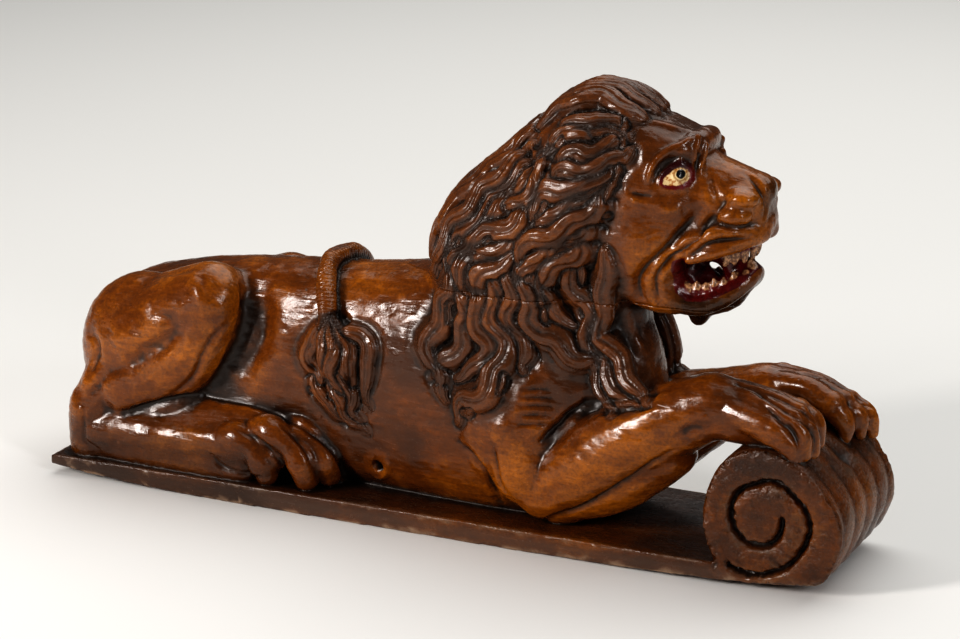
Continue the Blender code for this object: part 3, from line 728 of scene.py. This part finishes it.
# Gouge marks: five across the near shoulder, then eight along the forearm, 9 mm apart
SHOULDER_MARKS = [[(91 - k, -70, z), (100, -66, z + 1), (109 + k, -61, z)]
                  for k, z in enumerate((136, 129, 122, 114, 106))]
FOREARM_MARKS = [[(118 + k * 9, -62, 110 + k * 3), (128 + k * 9, -62, 119 + k * 2),
                  (136 + k * 9, -60, 122 + k * 2)] for k in range(8)]
TUFT_CORE = [(-90, -52, 156, 10), (-84, -50, 132, 17), (-80, -49, 108, 13), (-72, -50, 88, 7)]
TUFT_PITS = [[(-112, -57, 128), (-107, -58, 118)], [(-97, -58, 116), (-93, -58, 104)],
             [(-75, -60, 120), (-71, -59, 110)]]
EAR_HOLLOWS = [([(82, -60, 336), (88, -62, 328), (92, -64, 318)], -7.0, 5.5),
               ([(66, -56, 338), (72, -58, 332)], -5.0, 5.0)]
BROW_EDGE = [(160, -46, 361), (168, -50, 363), (190, -48, 362), (214, -42, 356), (222, -40, 355)]


# The worn lip below the pin's hole
HOLE_LIP = [(-45, -50, 50), (-44, -49, 40), (-52, -45, 31), (-62, -42, 29)]


def carve(lion, hair):
    """Cuts the strands, then every line, one group after the other, and leaves the gouges' waviness."""
    carver = Carver(lion)
    carver.strands(hair)
    for lines, options in ((FACE_LINES, {}), (HIND_LINES, {"shift": FAR_HIND_SHIFT}), (FORE_LINES, {}),
                           (PAW_LINES, {"sides": (NEAR,)})):
        for knots, height, width in lines:
            carver.line(knots, height, width, **options)
    for lines, height, width, side in ((FAR_PAW_LINES, -2.0, 2.0, FAR), (TUFT_PITS, -4.5, 3.4, NEAR),
                                       (SHOULDER_MARKS + FOREARM_MARKS, -2.0, 1.8, NEAR)):
        for knots in lines:
            carver.line(knots, height, width, sides=(side,))
    for knots, height, width in EAR_HOLLOWS:
        carver.line(knots, height, width)
    carver.line(BROW_EDGE, 3.0, 3.5, sides=(NEAR,))
    carver.line(HOLE_LIP, 1.8, 2.6, sides=(NEAR,))
    carver.unevenness(0.6, 0.42)
    carver.apply()
    modify(lion, 'SMOOTH', factor=0.4, iterations=1)


def carved_lion():
    clay = Clay()
    clay.loft(TRUNK)
    hind_leg(clay, NEAR, 0, 0)
    hind_leg(clay, FAR, 24, 13)
    fore_leg(clay, NEAR, 0, 0)
    fore_leg(clay, FAR, 18, 14)
    neck_and_mane(clay)
    head(clay)
    clay.limb(TUFT_CORE)
    masses = clay.skin("masses", 2.6, 7)
    skin = Skin(masses)
    clay = Clay()
    hair = Hair(clay, skin)
    mane(hair)
    throat = flow(THROAT_LOCK, 6)
    clay.sweep(throat[:, :3], throat[:, 3])
    hair.keep(throat[:, :3], np.tile(VIEW, (len(throat), 1)), throat[:, 3])
    tail(clay, hair)
    for side in (NEAR, FAR):
        hind_toes(clay, side)
    fore_toes(clay, NEAR, FINGERS)
    fore_toes(clay, FAR, FAR_FINGERS)
    face(clay, skin)
    lion = clay.skin("lion", 1.5, 2, masses)
    carve(lion, hair)
    return lion, hair


# The base and its scroll

REAR_END = -360
REAR_WIDTH, TAPER, TAPER_LENGTH = 174, 35, 705
# The underside rises at both ends: where each rise starts and how long it is
UNDERSIDE_RISE = 8.5
REAR_RISE, FRONT_RISE = (-205, 155), (90, 255)


def half_width(x):
    return (REAR_WIDTH - TAPER * (x - REAR_END) / TAPER_LENGTH) / 2


def underside(x):
    if x < REAR_RISE[0]:
        return UNDERSIDE_RISE * ((REAR_RISE[0] - x) / REAR_RISE[1]) ** 2
    if x > FRONT_RISE[0]:
        return UNDERSIDE_RISE * ((x - FRONT_RISE[0]) / FRONT_RISE[1]) ** 2
    return 0.0


# The scroll's outline in x and z, the middle of its spiral, and the spiral's radius at some angles
SCROLL = [
    (257, 17.5), (249, 36), (246, 60), (254, 90), (270, 110), (290, 116), (312, 113), (330, 103),
    (349, 82), (358, 66), (360, 50), (357, 36), (345, 14), (318, 8), (296, 5.5),
]
SCROLL_EYE = (291, 61.5)
SPIRAL = [(244, 50), (350, 42.5), (410, 34), (470, 24.5), (540, 22), (640, 25), (720, 20)]


def base_outline():
    top = [(REAR_END, 16)] + [(x, BOARD_TOP) for x in np.arange(-356, 250, 12)]
    bottom = [(x, underside(x)) for x in np.arange(288, REAR_END, -8)] + [(REAR_END, underside(REAR_END))]
    return top + flow(SCROLL, 5).tolist() + bottom


def spiral_point(angle):
    for (a, ra), (b, rb) in zip(SPIRAL, SPIRAL[1:]):
        if angle <= b:
            break
    share = (angle - a) / (b - a)
    radius = ra + (rb - ra) * share * share * (3 - 2 * share)
    turn = math.radians(angle)
    return SCROLL_EYE[0] + radius * math.cos(turn), SCROLL_EYE[1] + radius * math.sin(turn)


def flute_front(carver):
    x, y, z = carver.points.T
    front = clamp((x - 318) / 20) * clamp((z - 6) / 20) * (np.abs(y) < half_width(x) - 2)
    carver.lift -= front * 1.1 * (1.6 - np.abs(np.sin(y / 9.0 + 0.5 * np.sin(z / 19.0)))) ** 2


def carve_scroll(carver):
    """Cuts the spiral's groove into both faces, lowers what lies inside it and wears the rim."""
    x, y, z = carver.points.T
    scroll = np.nonzero((np.abs(y) > half_width(x) - 2.5) & (x > 236))[0]
    flat = np.column_stack([x, z])[scroll]
    angles = np.linspace(SPIRAL[0][0], SPIRAL[-1][0], 160)
    path = np.array([spiral_point(angle) for angle in angles])
    apart = np.linalg.norm(flat[:, None] - path[None], axis=2)
    closest = path[apart.argmin(axis=1)]
    apart = apart.min(axis=1)
    inner = np.linalg.norm(flat - SCROLL_EYE, axis=1) < np.linalg.norm(closest - SCROLL_EYE, axis=1)
    rim = np.linalg.norm(flat[:, None] - flow(SCROLL, 8)[None], axis=2).min(axis=1)
    rough = np.array([noise.noise((a / 4, b / 4, 0.3)) for a, b in flat])
    worn = 0.8 + 0.7 * rough
    carver.lift[scroll] -= (6.5 * np.exp(-(apart / (2.4 + 0.6 * rough)) ** 4)
                            + 2.4 * inner * worn * np.exp(-(apart / 5.5) ** 2)
                            + ~inner * np.exp(-(apart / 7.0) ** 2)
                            + 2.0 * worn * np.exp(-(rim / 3.0) ** 2) + 0.7 * rough)


def carve_fan(carver):
    """The ribs that spread under the forepaws."""
    x, y, z = carver.points.T
    fan = clamp((x - 262) / 12) * clamp((344 - x) / 8) * clamp((z - 60) / 12)
    fan = fan * np.exp(-((y - 4) / 22) ** 4)
    carver.lift -= fan * (2.6 + 1.2 * np.sin(y * (0.42 - 0.0022 * (x - 262)) + 1.0))


def carved_base():
    outline = base_outline()
    count = len(outline)
    points = [(x, side * half_width(x), z) for side in (NEAR, FAR) for x, z in outline]
    faces = [(k, (k + 1) % count, count + (k + 1) % count, count + k) for k in range(count)]
    faces += [tuple(range(count))[::-1], tuple(range(count, 2 * count))]
    base = object_from("base", points, faces)
    face_outward(base, in_triangles=True)
    modify(base, 'REMESH', mode='VOXEL', voxel_size=1.3 * MM, adaptivity=0.0)
    modify(base, 'SMOOTH', factor=0.5, iterations=2)
    carver = Carver(base)
    carver.unevenness(0.35, 0.3)
    flute_front(carver)
    carve_scroll(carver)
    carve_fan(carver)
    carver.apply()
    return base


BASE_TRIANGLES, PIECE_TRIANGLES = 62000, 196000
SHORTEST_EDGE = 2e-6
CRUMB_POINTS = 500
BOX_MARGIN = 0.05
# A corner beyond the lion, for the blocks that part it at the seam
BEYOND = (500, 200, 500)


def thin(item, triangles):
    present = sum(len(face.vertices) - 2 for face in item.data.polygons)
    if present > triangles:
        modify(item, 'DECIMATE', ratio=triangles / present, use_collapse_triangulate=True)


def mend(item):
    """Takes off the crumbs that the cuts leave and closes the holes round them. A few edges may stay
    shared by more than two faces."""
    mesh = bmesh.new()
    mesh.from_mesh(item.data)
    bmesh.ops.dissolve_degenerate(mesh, dist=SHORTEST_EDGE, edges=mesh.edges)
    for _ in range(4):
        faulty = {vert for edge in mesh.edges if not edge.is_manifold for vert in edge.verts}
        if not faulty:
            break
        around = list({face for vert in faulty for face in vert.link_faces})
        bmesh.ops.delete(mesh, geom=around, context='FACES')
        left = set(mesh.verts)
        while left:
            patch = [left.pop()]
            for vert in patch:
                near = {edge.other_vert(vert) for edge in vert.link_edges} & left
                left -= near
                patch += near
            if len(patch) < CRUMB_POINTS:
                bmesh.ops.delete(mesh, geom=patch, context='VERTS')
                left = {vert for vert in left if vert.is_valid}
        rims = [edge for edge in mesh.edges if edge.is_boundary]
        bmesh.ops.holes_fill(mesh, edges=rims, sides=0)
        bmesh.ops.triangulate(mesh, faces=[face for face in mesh.faces if len(face.verts) > 4])
    bmesh.ops.recalc_face_normals(mesh, faces=mesh.faces)
    mesh.to_mesh(item.data)
    mesh.free()


def pin():
    """The cutter for the hole in the near side of the belly."""
    x, z, radius = PIN_HOLE
    bpy.ops.mesh.primitive_cylinder_add(vertices=40, radius=radius * MM, depth=60 * MM,
                                        rotation=(math.pi / 2, 0, 0), location=(x * MM, -55 * MM, z * MM))
    return added()


def inside_box(item, box):
    """Keeps every point inside the box of the solids."""
    points = places(item)
    low, high = np.array(box[0]) / MM, np.array(box[1]) / MM
    move_points(item, np.clip(points, low + BOX_MARGIN, high - BOX_MARGIN))


lion, hair = carved_lion()
head_piece = into_scene("head_carved", lion.data.copy())
cut(lion, pin(), 'DIFFERENCE')
cut(head_piece, block((SEAM_REAR, -200, SEAM_LEVEL + SEAM_GAP), BEYOND), 'INTERSECT')
body = lion
body.name = "body_carved"
cut(body, block((SEAM_REAR, -200, SEAM_LEVEL), BEYOND), 'DIFFERENCE')
base = carved_base()
thin(base, BASE_TRIANGLES)
base_skin = Skin(base)
cut(body, base, 'UNION')
for piece in (body, head_piece):
    thin(piece, PIECE_TRIANGLES)
    mend(piece)
    activate(piece)
    bpy.ops.object.shade_smooth()


# What the surface tells the varnish

def neighbours_mean(values, ends, count):
    """Each point's mean of the values at the points it shares an edge with."""
    a, b = ends
    total = np.empty_like(values)
    weight = np.bincount(a, minlength=count) + np.bincount(b, minlength=count)
    for k in range(values.shape[1]):
        total[:, k] = np.bincount(a, values[b, k], count) + np.bincount(b, values[a, k], count)
    return total / np.maximum(weight, 1)[:, None]


def keep_values(item, name, values):
    attribute = item.data.attributes.new(name, 'FLOAT', 'POINT')
    attribute.data.foreach_set("value", values.astype(np.float32))


# The tail's rings start at this point of its line and reach this far from it
RINGS_START, RING_REACH = 40, 11.5


def read_surface(item, hair):
    """Keeps for each point how hollow it lies, at two scales, where it is on a lock and how far along
    the tail."""
    points, outward = places(item), normals(item)
    flat = np.empty(len(item.data.edges) * 2, dtype=np.int64)
    item.data.edges.foreach_get("vertices", flat)
    ends = flat.reshape(-1, 2).T
    smooth = points.copy()
    for step in range(1, 101):
        smooth = neighbours_mean(smooth, ends, len(points))
        if step == 6:
            fine = ((smooth - points) * outward).sum(axis=1)
    broad = ((smooth - points) * outward).sum(axis=1)
    keep_values(item, "fine_hollow", fine)
    keep_values(item, "broad_hollow", broad)
    first, second, angle, _ = hair.around(points)
    on_hair = clamp((1.9 - first) / 0.5)
    keep_values(item, "hair", on_hair)
    between = np.exp(-((second - first) / 0.2) ** 2)
    keep_values(item, "gap", on_hair * np.maximum(between, clamp(first - 1.0)))
    keep_values(item, "strand", angle)
    path = flow(TAIL, 12)[:, :3]
    along = np.cumsum(np.linalg.norm(np.diff(path, axis=0, prepend=path[:1]), axis=1))
    path, along = path[RINGS_START:], along[RINGS_START:]
    apart = np.linalg.norm(points[:, None] - path[None], axis=2)
    keep_values(item, "ring", np.where(apart.min(axis=1) < RING_REACH, along[apart.argmin(axis=1)], 0))


# Materials

def operator(name):
    """A method that works out one operation in the shader."""
    def method(*values):
        return values[0].shader.node("ShaderNodeMath", {"operation": name}, dict(enumerate(values)))
    return method


class Field:
    """One value of a shader, with the operators that the materials use."""

    __add__ = __radd__ = operator('ADD')
    __sub__ = operator('SUBTRACT')
    __mul__ = __rmul__ = operator('MULTIPLY')
    __truediv__ = operator('DIVIDE')
    __pow__ = operator('POWER')
    sine = operator('SINE')
    size = operator('ABSOLUTE')
    upto = operator('MAXIMUM')

    def __init__(self, shader, socket):
        self.shader, self.socket = shader, socket

    def __rsub__(self, other):
        return self.shader.node("ShaderNodeMath", {"operation": 'SUBTRACT'}, {0: other, 1: self})

    def step(self, low, high):
        """Rises smoothly from 0 to 1 between low and high; falls where high is the smaller one."""
        return self.shader.node("ShaderNodeMapRange", {"interpolation_type": 'SMOOTHSTEP'},
                                {"Value": self, "From Min": low, "From Max": high})


class Shader:
    """A material whose nodes are made by calls."""

    def __init__(self, name):
        self.material = bpy.data.materials.new(name)
        self.material.use_nodes = True
        self.tree = self.material.node_tree
        self.surface = self.tree.nodes["Principled BSDF"]
        self.place = self.node("ShaderNodeTexCoord", out="Object")

    def node(self, kind, settings={}, values={}, out=0):
        made = self.tree.nodes.new(kind)
        for key, value in settings.items():
            setattr(made, key, value)
        self.feed(made, values)
        return Field(self, made.outputs[out])

    def feed(self, made, values):
        for key, value in values.items():
            if isinstance(value, Field):
                self.tree.links.new(value.socket, made.inputs[key])
            else:
                made.inputs[key].default_value = value

    def attribute(self, name):
        return self.node("ShaderNodeAttribute", {"attribute_name": name}, out="Fac")

    def vector(self, operation, *values, out=0):
        return self.node("ShaderNodeVectorMath", {"operation": operation}, dict(enumerate(values)), out)

    def stretched(self, factors):
        return self.vector('MULTIPLY', self.place, factors)

    def noise(self, scale, detail=3.0, roughness=0.5, place=None, warp=0.0):
        values = {"Vector": place or self.place, "Scale": scale, "Detail": detail, "Roughness": roughness}
        return self.node("ShaderNodeTexNoise", {}, {**values, "Distortion": warp})

    def mix(self, factor, a, b):
        return self.node("ShaderNodeMix", {"data_type": 'RGBA'}, {0: factor, 6: a, 7: b}, out=2)

    def away(self, centre):
        """The distance in metres to a place given in millimetres, the same on both flanks."""
        mirrored = self.vector('ABSOLUTE', self.place)
        return self.vector('DISTANCE', mirrored, tuple(abs(c) * MM for c in centre), out="Value")

    def along(self, direction, centre=(0, 0, 0)):
        """How far a point lies from a place in one direction, in millimetres, the same on both flanks and
        at both ends."""
        x, y, z = direction
        offset = x * centre[0] - y * abs(centre[1]) + z * centre[2]
        dot = self.vector('DOT_PRODUCT', self.vector('ABSOLUTE', self.place), (x, -y, z), out="Value")
        return dot * (1 / MM) - offset


PITCH = (0.011, 0.0055, 0.0030, 1)
UMBER = (0.066, 0.0200, 0.0040, 1)
BROWN = (0.170, 0.0465, 0.0030, 1)
AMBER = (0.385, 0.1230, 0.0040, 1)
RED = (0.130, 0.0080, 0.0070, 1)
DARK_RED = (0.035, 0.0045, 0.0045, 1)
CREAM = (0.780, 0.6000, 0.3300, 1)
TOOTH = (0.520, 0.2800, 0.1400, 1)
BLACK = (0.006, 0.0050, 0.0050, 1)
GREY_BROWN = (0.095, 0.0660, 0.0500, 1)
DUST_WEAR_AND_GLINT = (0.300, 0.2000, 0.1300, 1)
OLD_CREAM = (0.400, 0.1600, 0.0350, 1)
IRIS = (0.330, 0.1500, 0.0300, 1)
FORWARD, UPWARD = (1, 0, 0), (0, 0, 1)
CHEEK = (188, -46, 252)


def painted_eye(wood, colour, brushed):
    """The red rim, the cream ball with its flecks, and the ring round a black pupil."""
    u, v, depth = wood.along(EYE_ALONG, EYE), wood.along(EYE_UP, EYE), wood.along(EYE_OUT, EYE)
    near_eye = depth.size().step(14, 10)
    rim = ((u / 14.5) ** 2 + (v / (u * 0.2 + 11.0)) ** 2) ** 0.5 + brushed * 0.45
    colour = wood.mix(rim.step(1.06, 0.90) * near_eye, colour, wood.mix(v.step(-2, 6), RED, DARK_RED))
    ball = (((u + 0.5) / 10.8) ** 2 + ((v + 0.9) / (u * 0.2 + 6.5)) ** 2) ** 0.5 + brushed * 0.6
    flecks = wood.noise(330.0, 2.0, 0.6).step(0.52, 0.66)
    white = wood.mix(flecks * 0.9 + ball.step(0.5, 1.0) * 0.25, CREAM, OLD_CREAM)
    colour = wood.mix(ball.step(1.04, 0.88) * near_eye, colour, white)
    pupil = ((u - 4.0) ** 2 + (v - 0.5) ** 2) ** 0.5 + brushed * 1.5
    ring = (pupil - 5.2).size().step(1.1, 0.3) * near_eye * ball.step(0.98, 0.85)
    colour = wood.mix(ring * 0.7, colour, IRIS)
    return wood.mix(pupil.step(4.0, 3.2) * near_eye, colour, BLACK)


def painted_mouth(wood, colour, brushed, clouds, speckle):
    mouth = wood.attribute("mouth") + brushed * 0.5
    colour = wood.mix(mouth.step(0.35, 0.6), colour, wood.mix(clouds.step(0.35, 0.6), DARK_RED, RED))
    stain = wood.mix(speckle.step(0.62, 0.42) * 0.7, TOOTH, DARK_RED)
    return wood.mix((wood.attribute("tooth") + brushed * 0.7).step(0.45, 0.75), colour, stain)


def varnished():
    """Old brown varnish: dark in every hollow, partly pooled varnish and partly painted shade; lighter on the
    edges, partly wear and partly painted highlight; duller on the board.
    """
    wood = Shader("old_brown_varnish")
    fine, broad = wood.attribute("fine_hollow"), wood.attribute("broad_hollow")
    hair, strand = wood.attribute("hair"), wood.attribute("strand")
    patches = wood.noise(9.0, 2.0)
    clouds = wood.noise(42.0, 4.0, 0.6, warp=0.4)
    speckle = wood.noise(420.0, 3.0, 0.6)
    lines = wood.noise(260.0, 3.0, 0.55, wood.stretched((0.10, 1.0, 1.0)), 0.3)
    figure = wood.noise(38.0, 4.0, 0.5, wood.stretched((0.16, 1.0, 1.0)), 0.8)
    # Painted shade: hollows and the gaps between locks are darkened towards PITCH, partly varnish pooled
    # there and partly the shade that falls in them.
    hollow = (fine.step(0.12, 1.0) * 0.9).upto(broad.step(0.7, 5.0))
    hollow = hollow.upto(wood.attribute("gap").step(0.35, 1.0) * 0.8)
    # Convex edges are made lighter: partly wear and partly painted highlight.
    edge = (0.0 - fine).step(0.08, 0.7) + (0.0 - broad).step(0.6, 3.0) * 0.5
    dull = wood.attribute("base") * wood.along(UPWARD).step(8, 20)
    lowest = wood.attribute("base") - dull
    cheek = wood.away(CHEEK).step(0.045, 0.005)
    tone = (0.38 + cheek * 0.25 + (patches - 0.5) * 1.9 + (clouds - 0.5) * 0.7 + (figure - 0.5) * 0.55
            + edge * 0.2 - hair * 0.18 - dull * 0.35 - lowest * 0.3)
    colour = wood.mix(tone.step(0.0, 0.55), UMBER, BROWN)
    colour = wood.mix(tone.step(0.40, 1.05), colour, AMBER)
    colour = wood.mix(lines.step(0.62, 0.40) * 0.24 + speckle.step(0.58, 0.36) * 0.34, colour, UMBER)
    nose = wood.along(FORWARD).step(264, 274) * wood.along(UPWARD).step(278, 290)
    # The mane is greyed, partly its own duller tone and partly painted sheen; the board's lowest band is its
    # own greyer brown.
    colour = wood.mix(hair * 0.14 + lowest * 0.5, colour, GREY_BROWN)
    # Darkened towards PITCH: painted shade in hollows and under the chin, the hind foot's lower part, and the
    # board above its lowest band, whose blotches are partly its own dark colour and partly painted shade on
    # its top under the lion.
    dark = (hollow * 0.94).upto(wood.attribute("shade")).upto(dull * (0.36 + (clouds - 0.5) * 2.2))
    colour = wood.mix(dark.upto(nose * 0.75), colour, PITCH)
    # Light dust specks, and the board's convex edges lightened: partly wear and partly painted glints.
    dust = wood.noise(700.0, 2.0, 0.6).step(0.66, 0.74) * 0.3
    worn = (0.0 - fine).step(0.45, 1.3) * (dull * 0.15 + lowest) * clouds.step(0.42, 0.6) * 0.8
    colour = wood.mix(dust.upto(worn), colour, DUST_WEAR_AND_GLINT)
    brushed = (wood.noise(300.0, 2.0) - 0.5) * 0.7
    colour = painted_eye(wood, colour, brushed)
    colour = painted_mouth(wood, colour, brushed, clouds, speckle)

    chatter = wood.noise(150.0, 2.0, 0.5, wood.stretched((0.35, 1.0, 1.0)), 0.4)
    ring = wood.attribute("ring")
    height = (lines * 0.35 + chatter * 0.95 + (ring * 1.9).sine() * ring.step(0.5, 3) * 0.5
              + speckle * (dull * 1.3 + 0.25)
              + hair * ((strand * 13.0 + (clouds - 0.5) * 5.0).sine() * 0.28))
    bump = wood.node("ShaderNodeBump", {}, {"Height": height, "Strength": 0.55, "Distance": 0.0011})
    roughness = (0.17 + clouds.step(0.35, 0.7) * 0.12 + lines.step(0.5, 0.7) * 0.08 + hollow * 0.14
                 + dull * 0.02 + hair * 0.05)
    wood.feed(wood.surface, {"Base Color": colour, "Roughness": roughness, "Normal": bump, "IOR": 1.5})
    return wood.material


def near_line(points, line, reach):
    """1 on a line, falling to 0 at reach, on both sides of the head."""
    folded = np.column_stack([points[:, 0], np.abs(points[:, 1]), points[:, 2]])
    spots = close_to(line, folded, reach)
    values = np.zeros(len(points))
    apart = np.linalg.norm(folded[spots][:, None] - line[None], axis=2).min(axis=1)
    values[spots] = clamp(1 - apart / reach)
    return values


# The hollow of the mouth along x: the heights of its roof and its floor, and half its width
MOUTH_ROOF = (200, 216, 232, 252, 262, 272), (246, 252, 256, 259, 262, 264)
MOUTH_FLOOR = (200, 206, 214, 226, 238, 254, 263), (234, 223, 217, 217.5, 222, 231, 242)
MOUTH_WALL = (200, 226, 252, 266), (37, 31, 22, 8)
# The lines of paint on the teeth: their points, where they start from the tip, how many points, and reach
TOOTH_PAINT = ((LOWER_TEETH, -3, 8, 6.5), (UPPER_TEETH, -14, 14, 7.0))


def paint(item):
    """Marks the base and its scroll, the red of the mouth, the teeth, painted shade below the chin, and the
    hind feet darker towards their bottom."""
    points = places(item)
    nearest = (base_skin.tree.find_nearest(point, 0.4)[0] for point in points)
    keep_values(item, "base", np.array([found is not None for found in nearest], float))
    x, y, z = points.T
    y = np.abs(y)
    roof, floor, wall = (np.interp(x, *table) for table in (MOUTH_ROOF, MOUTH_FLOOR, MOUTH_WALL))
    inside = (clamp((x - 203) / 3 + 0.5) * clamp((roof + 1 - z) / 2 + 0.5)
              * clamp((z - floor + 1) / 2 + 0.5) * clamp((266 - x) / 3 + 0.5)
              * clamp((wall + 6 - y) / 3 + 0.5))
    keep_values(item, "mouth", inside)
    # Painted shade under the chin; the hind foot is only made darker towards its bottom.
    chin = clamp((236 - z) / 20) * clamp((x - 190) / 22) * (z > 188)
    hind_foot = clamp((76 - z) / 42) * clamp((-135 - x) / 30)
    keep_values(item, "shade", np.maximum(chin * 0.85, hind_foot * 0.5))
    teeth = np.zeros(len(points))
    for rows, start, count, reach in TOOTH_PAINT:
        for tx, ty, tz in rows:
            line = np.array([(tx, ty, tz + start + k) for k in range(count)], float)
            teeth = np.maximum(teeth, near_line(points, line, reach))
    keep_values(item, "tooth", teeth * 1.4)


wood = varnished()
for piece, node in ((body, "body_and_base"), (head_piece, "head_block")):
    piece.data.materials.clear()
    piece.data.materials.append(wood)
    inside_box(piece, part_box(node))
    read_surface(piece, hair)
    paint(piece)
    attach(piece, "root")
    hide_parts(node)


# Floor, light and camera

LENS = 97.5
CAMERA_AIM = Vector((0.0182, 0.0, 0.1666))
CAMERA_DISTANCE = 2.16


def floor():
    bpy.ops.object.select_all(action='DESELECT')
    bpy.ops.mesh.primitive_plane_add(size=14.0, location=(0, 0, -0.0002))
    plane = added()
    plane.name = "studio_floor"
    paper = bpy.data.materials.new("studio_paper")
    paper.use_nodes = True
    shader = paper.node_tree.nodes["Principled BSDF"]
    shader.inputs["Base Color"].default_value = (0.80, 0.795, 0.775, 1)
    shader.inputs["Roughness"].default_value = 0.9
    plane.data.materials.append(paper)


def softbox(name, place, size, power, colour=(1, 1, 1), aim=(0.0, 0.0, 0.15)):
    lamp = bpy.data.lights.new(name, 'AREA')
    lamp.shape = 'RECTANGLE'
    lamp.size, lamp.size_y = size
    lamp.energy = power
    lamp.color = colour
    item = into_scene(name, lamp)
    item.location = place
    item.rotation_euler = (Vector(place) - Vector(aim)).to_track_quat('Z', 'Y').to_euler()


def camera():
    lens = bpy.data.cameras.new("camera")
    lens.sensor_width = 36.0
    lens.lens = LENS
    item = into_scene("camera", lens)
    item.location = CAMERA_AIM + Vector(VIEW) * CAMERA_DISTANCE
    item.rotation_euler = Vector(VIEW).to_track_quat('Z', 'Y').to_euler()
    bpy.context.scene.camera = item


def studio_air():
    world = bpy.data.worlds.new("studio")
    bpy.context.scene.world = world
    world.use_nodes = True
    air = world.node_tree.nodes["Background"]
    air.inputs["Color"].default_value = (0.9, 0.93, 0.95, 1)
    air.inputs["Strength"].default_value = 0.08


floor()
softbox("overhead", (0.2, 1.6, 3.0), (4.6, 3.6), 85, (1.0, 0.99, 0.97), (0.1, 0.9, 0.0))
softbox("upper_left", (-1.35, -1.97, 1.12), (0.36, 0.80), 41, (1.0, 0.95, 0.92))
softbox("front_right", (2.0, -1.0, 1.2), (0.3, 1.0), 12, (0.98, 0.98, 1.0))
studio_air()
bpy.context.scene.view_settings.view_transform = 'Standard'
bpy.context.scene.view_settings.look = 'High Contrast'
camera()
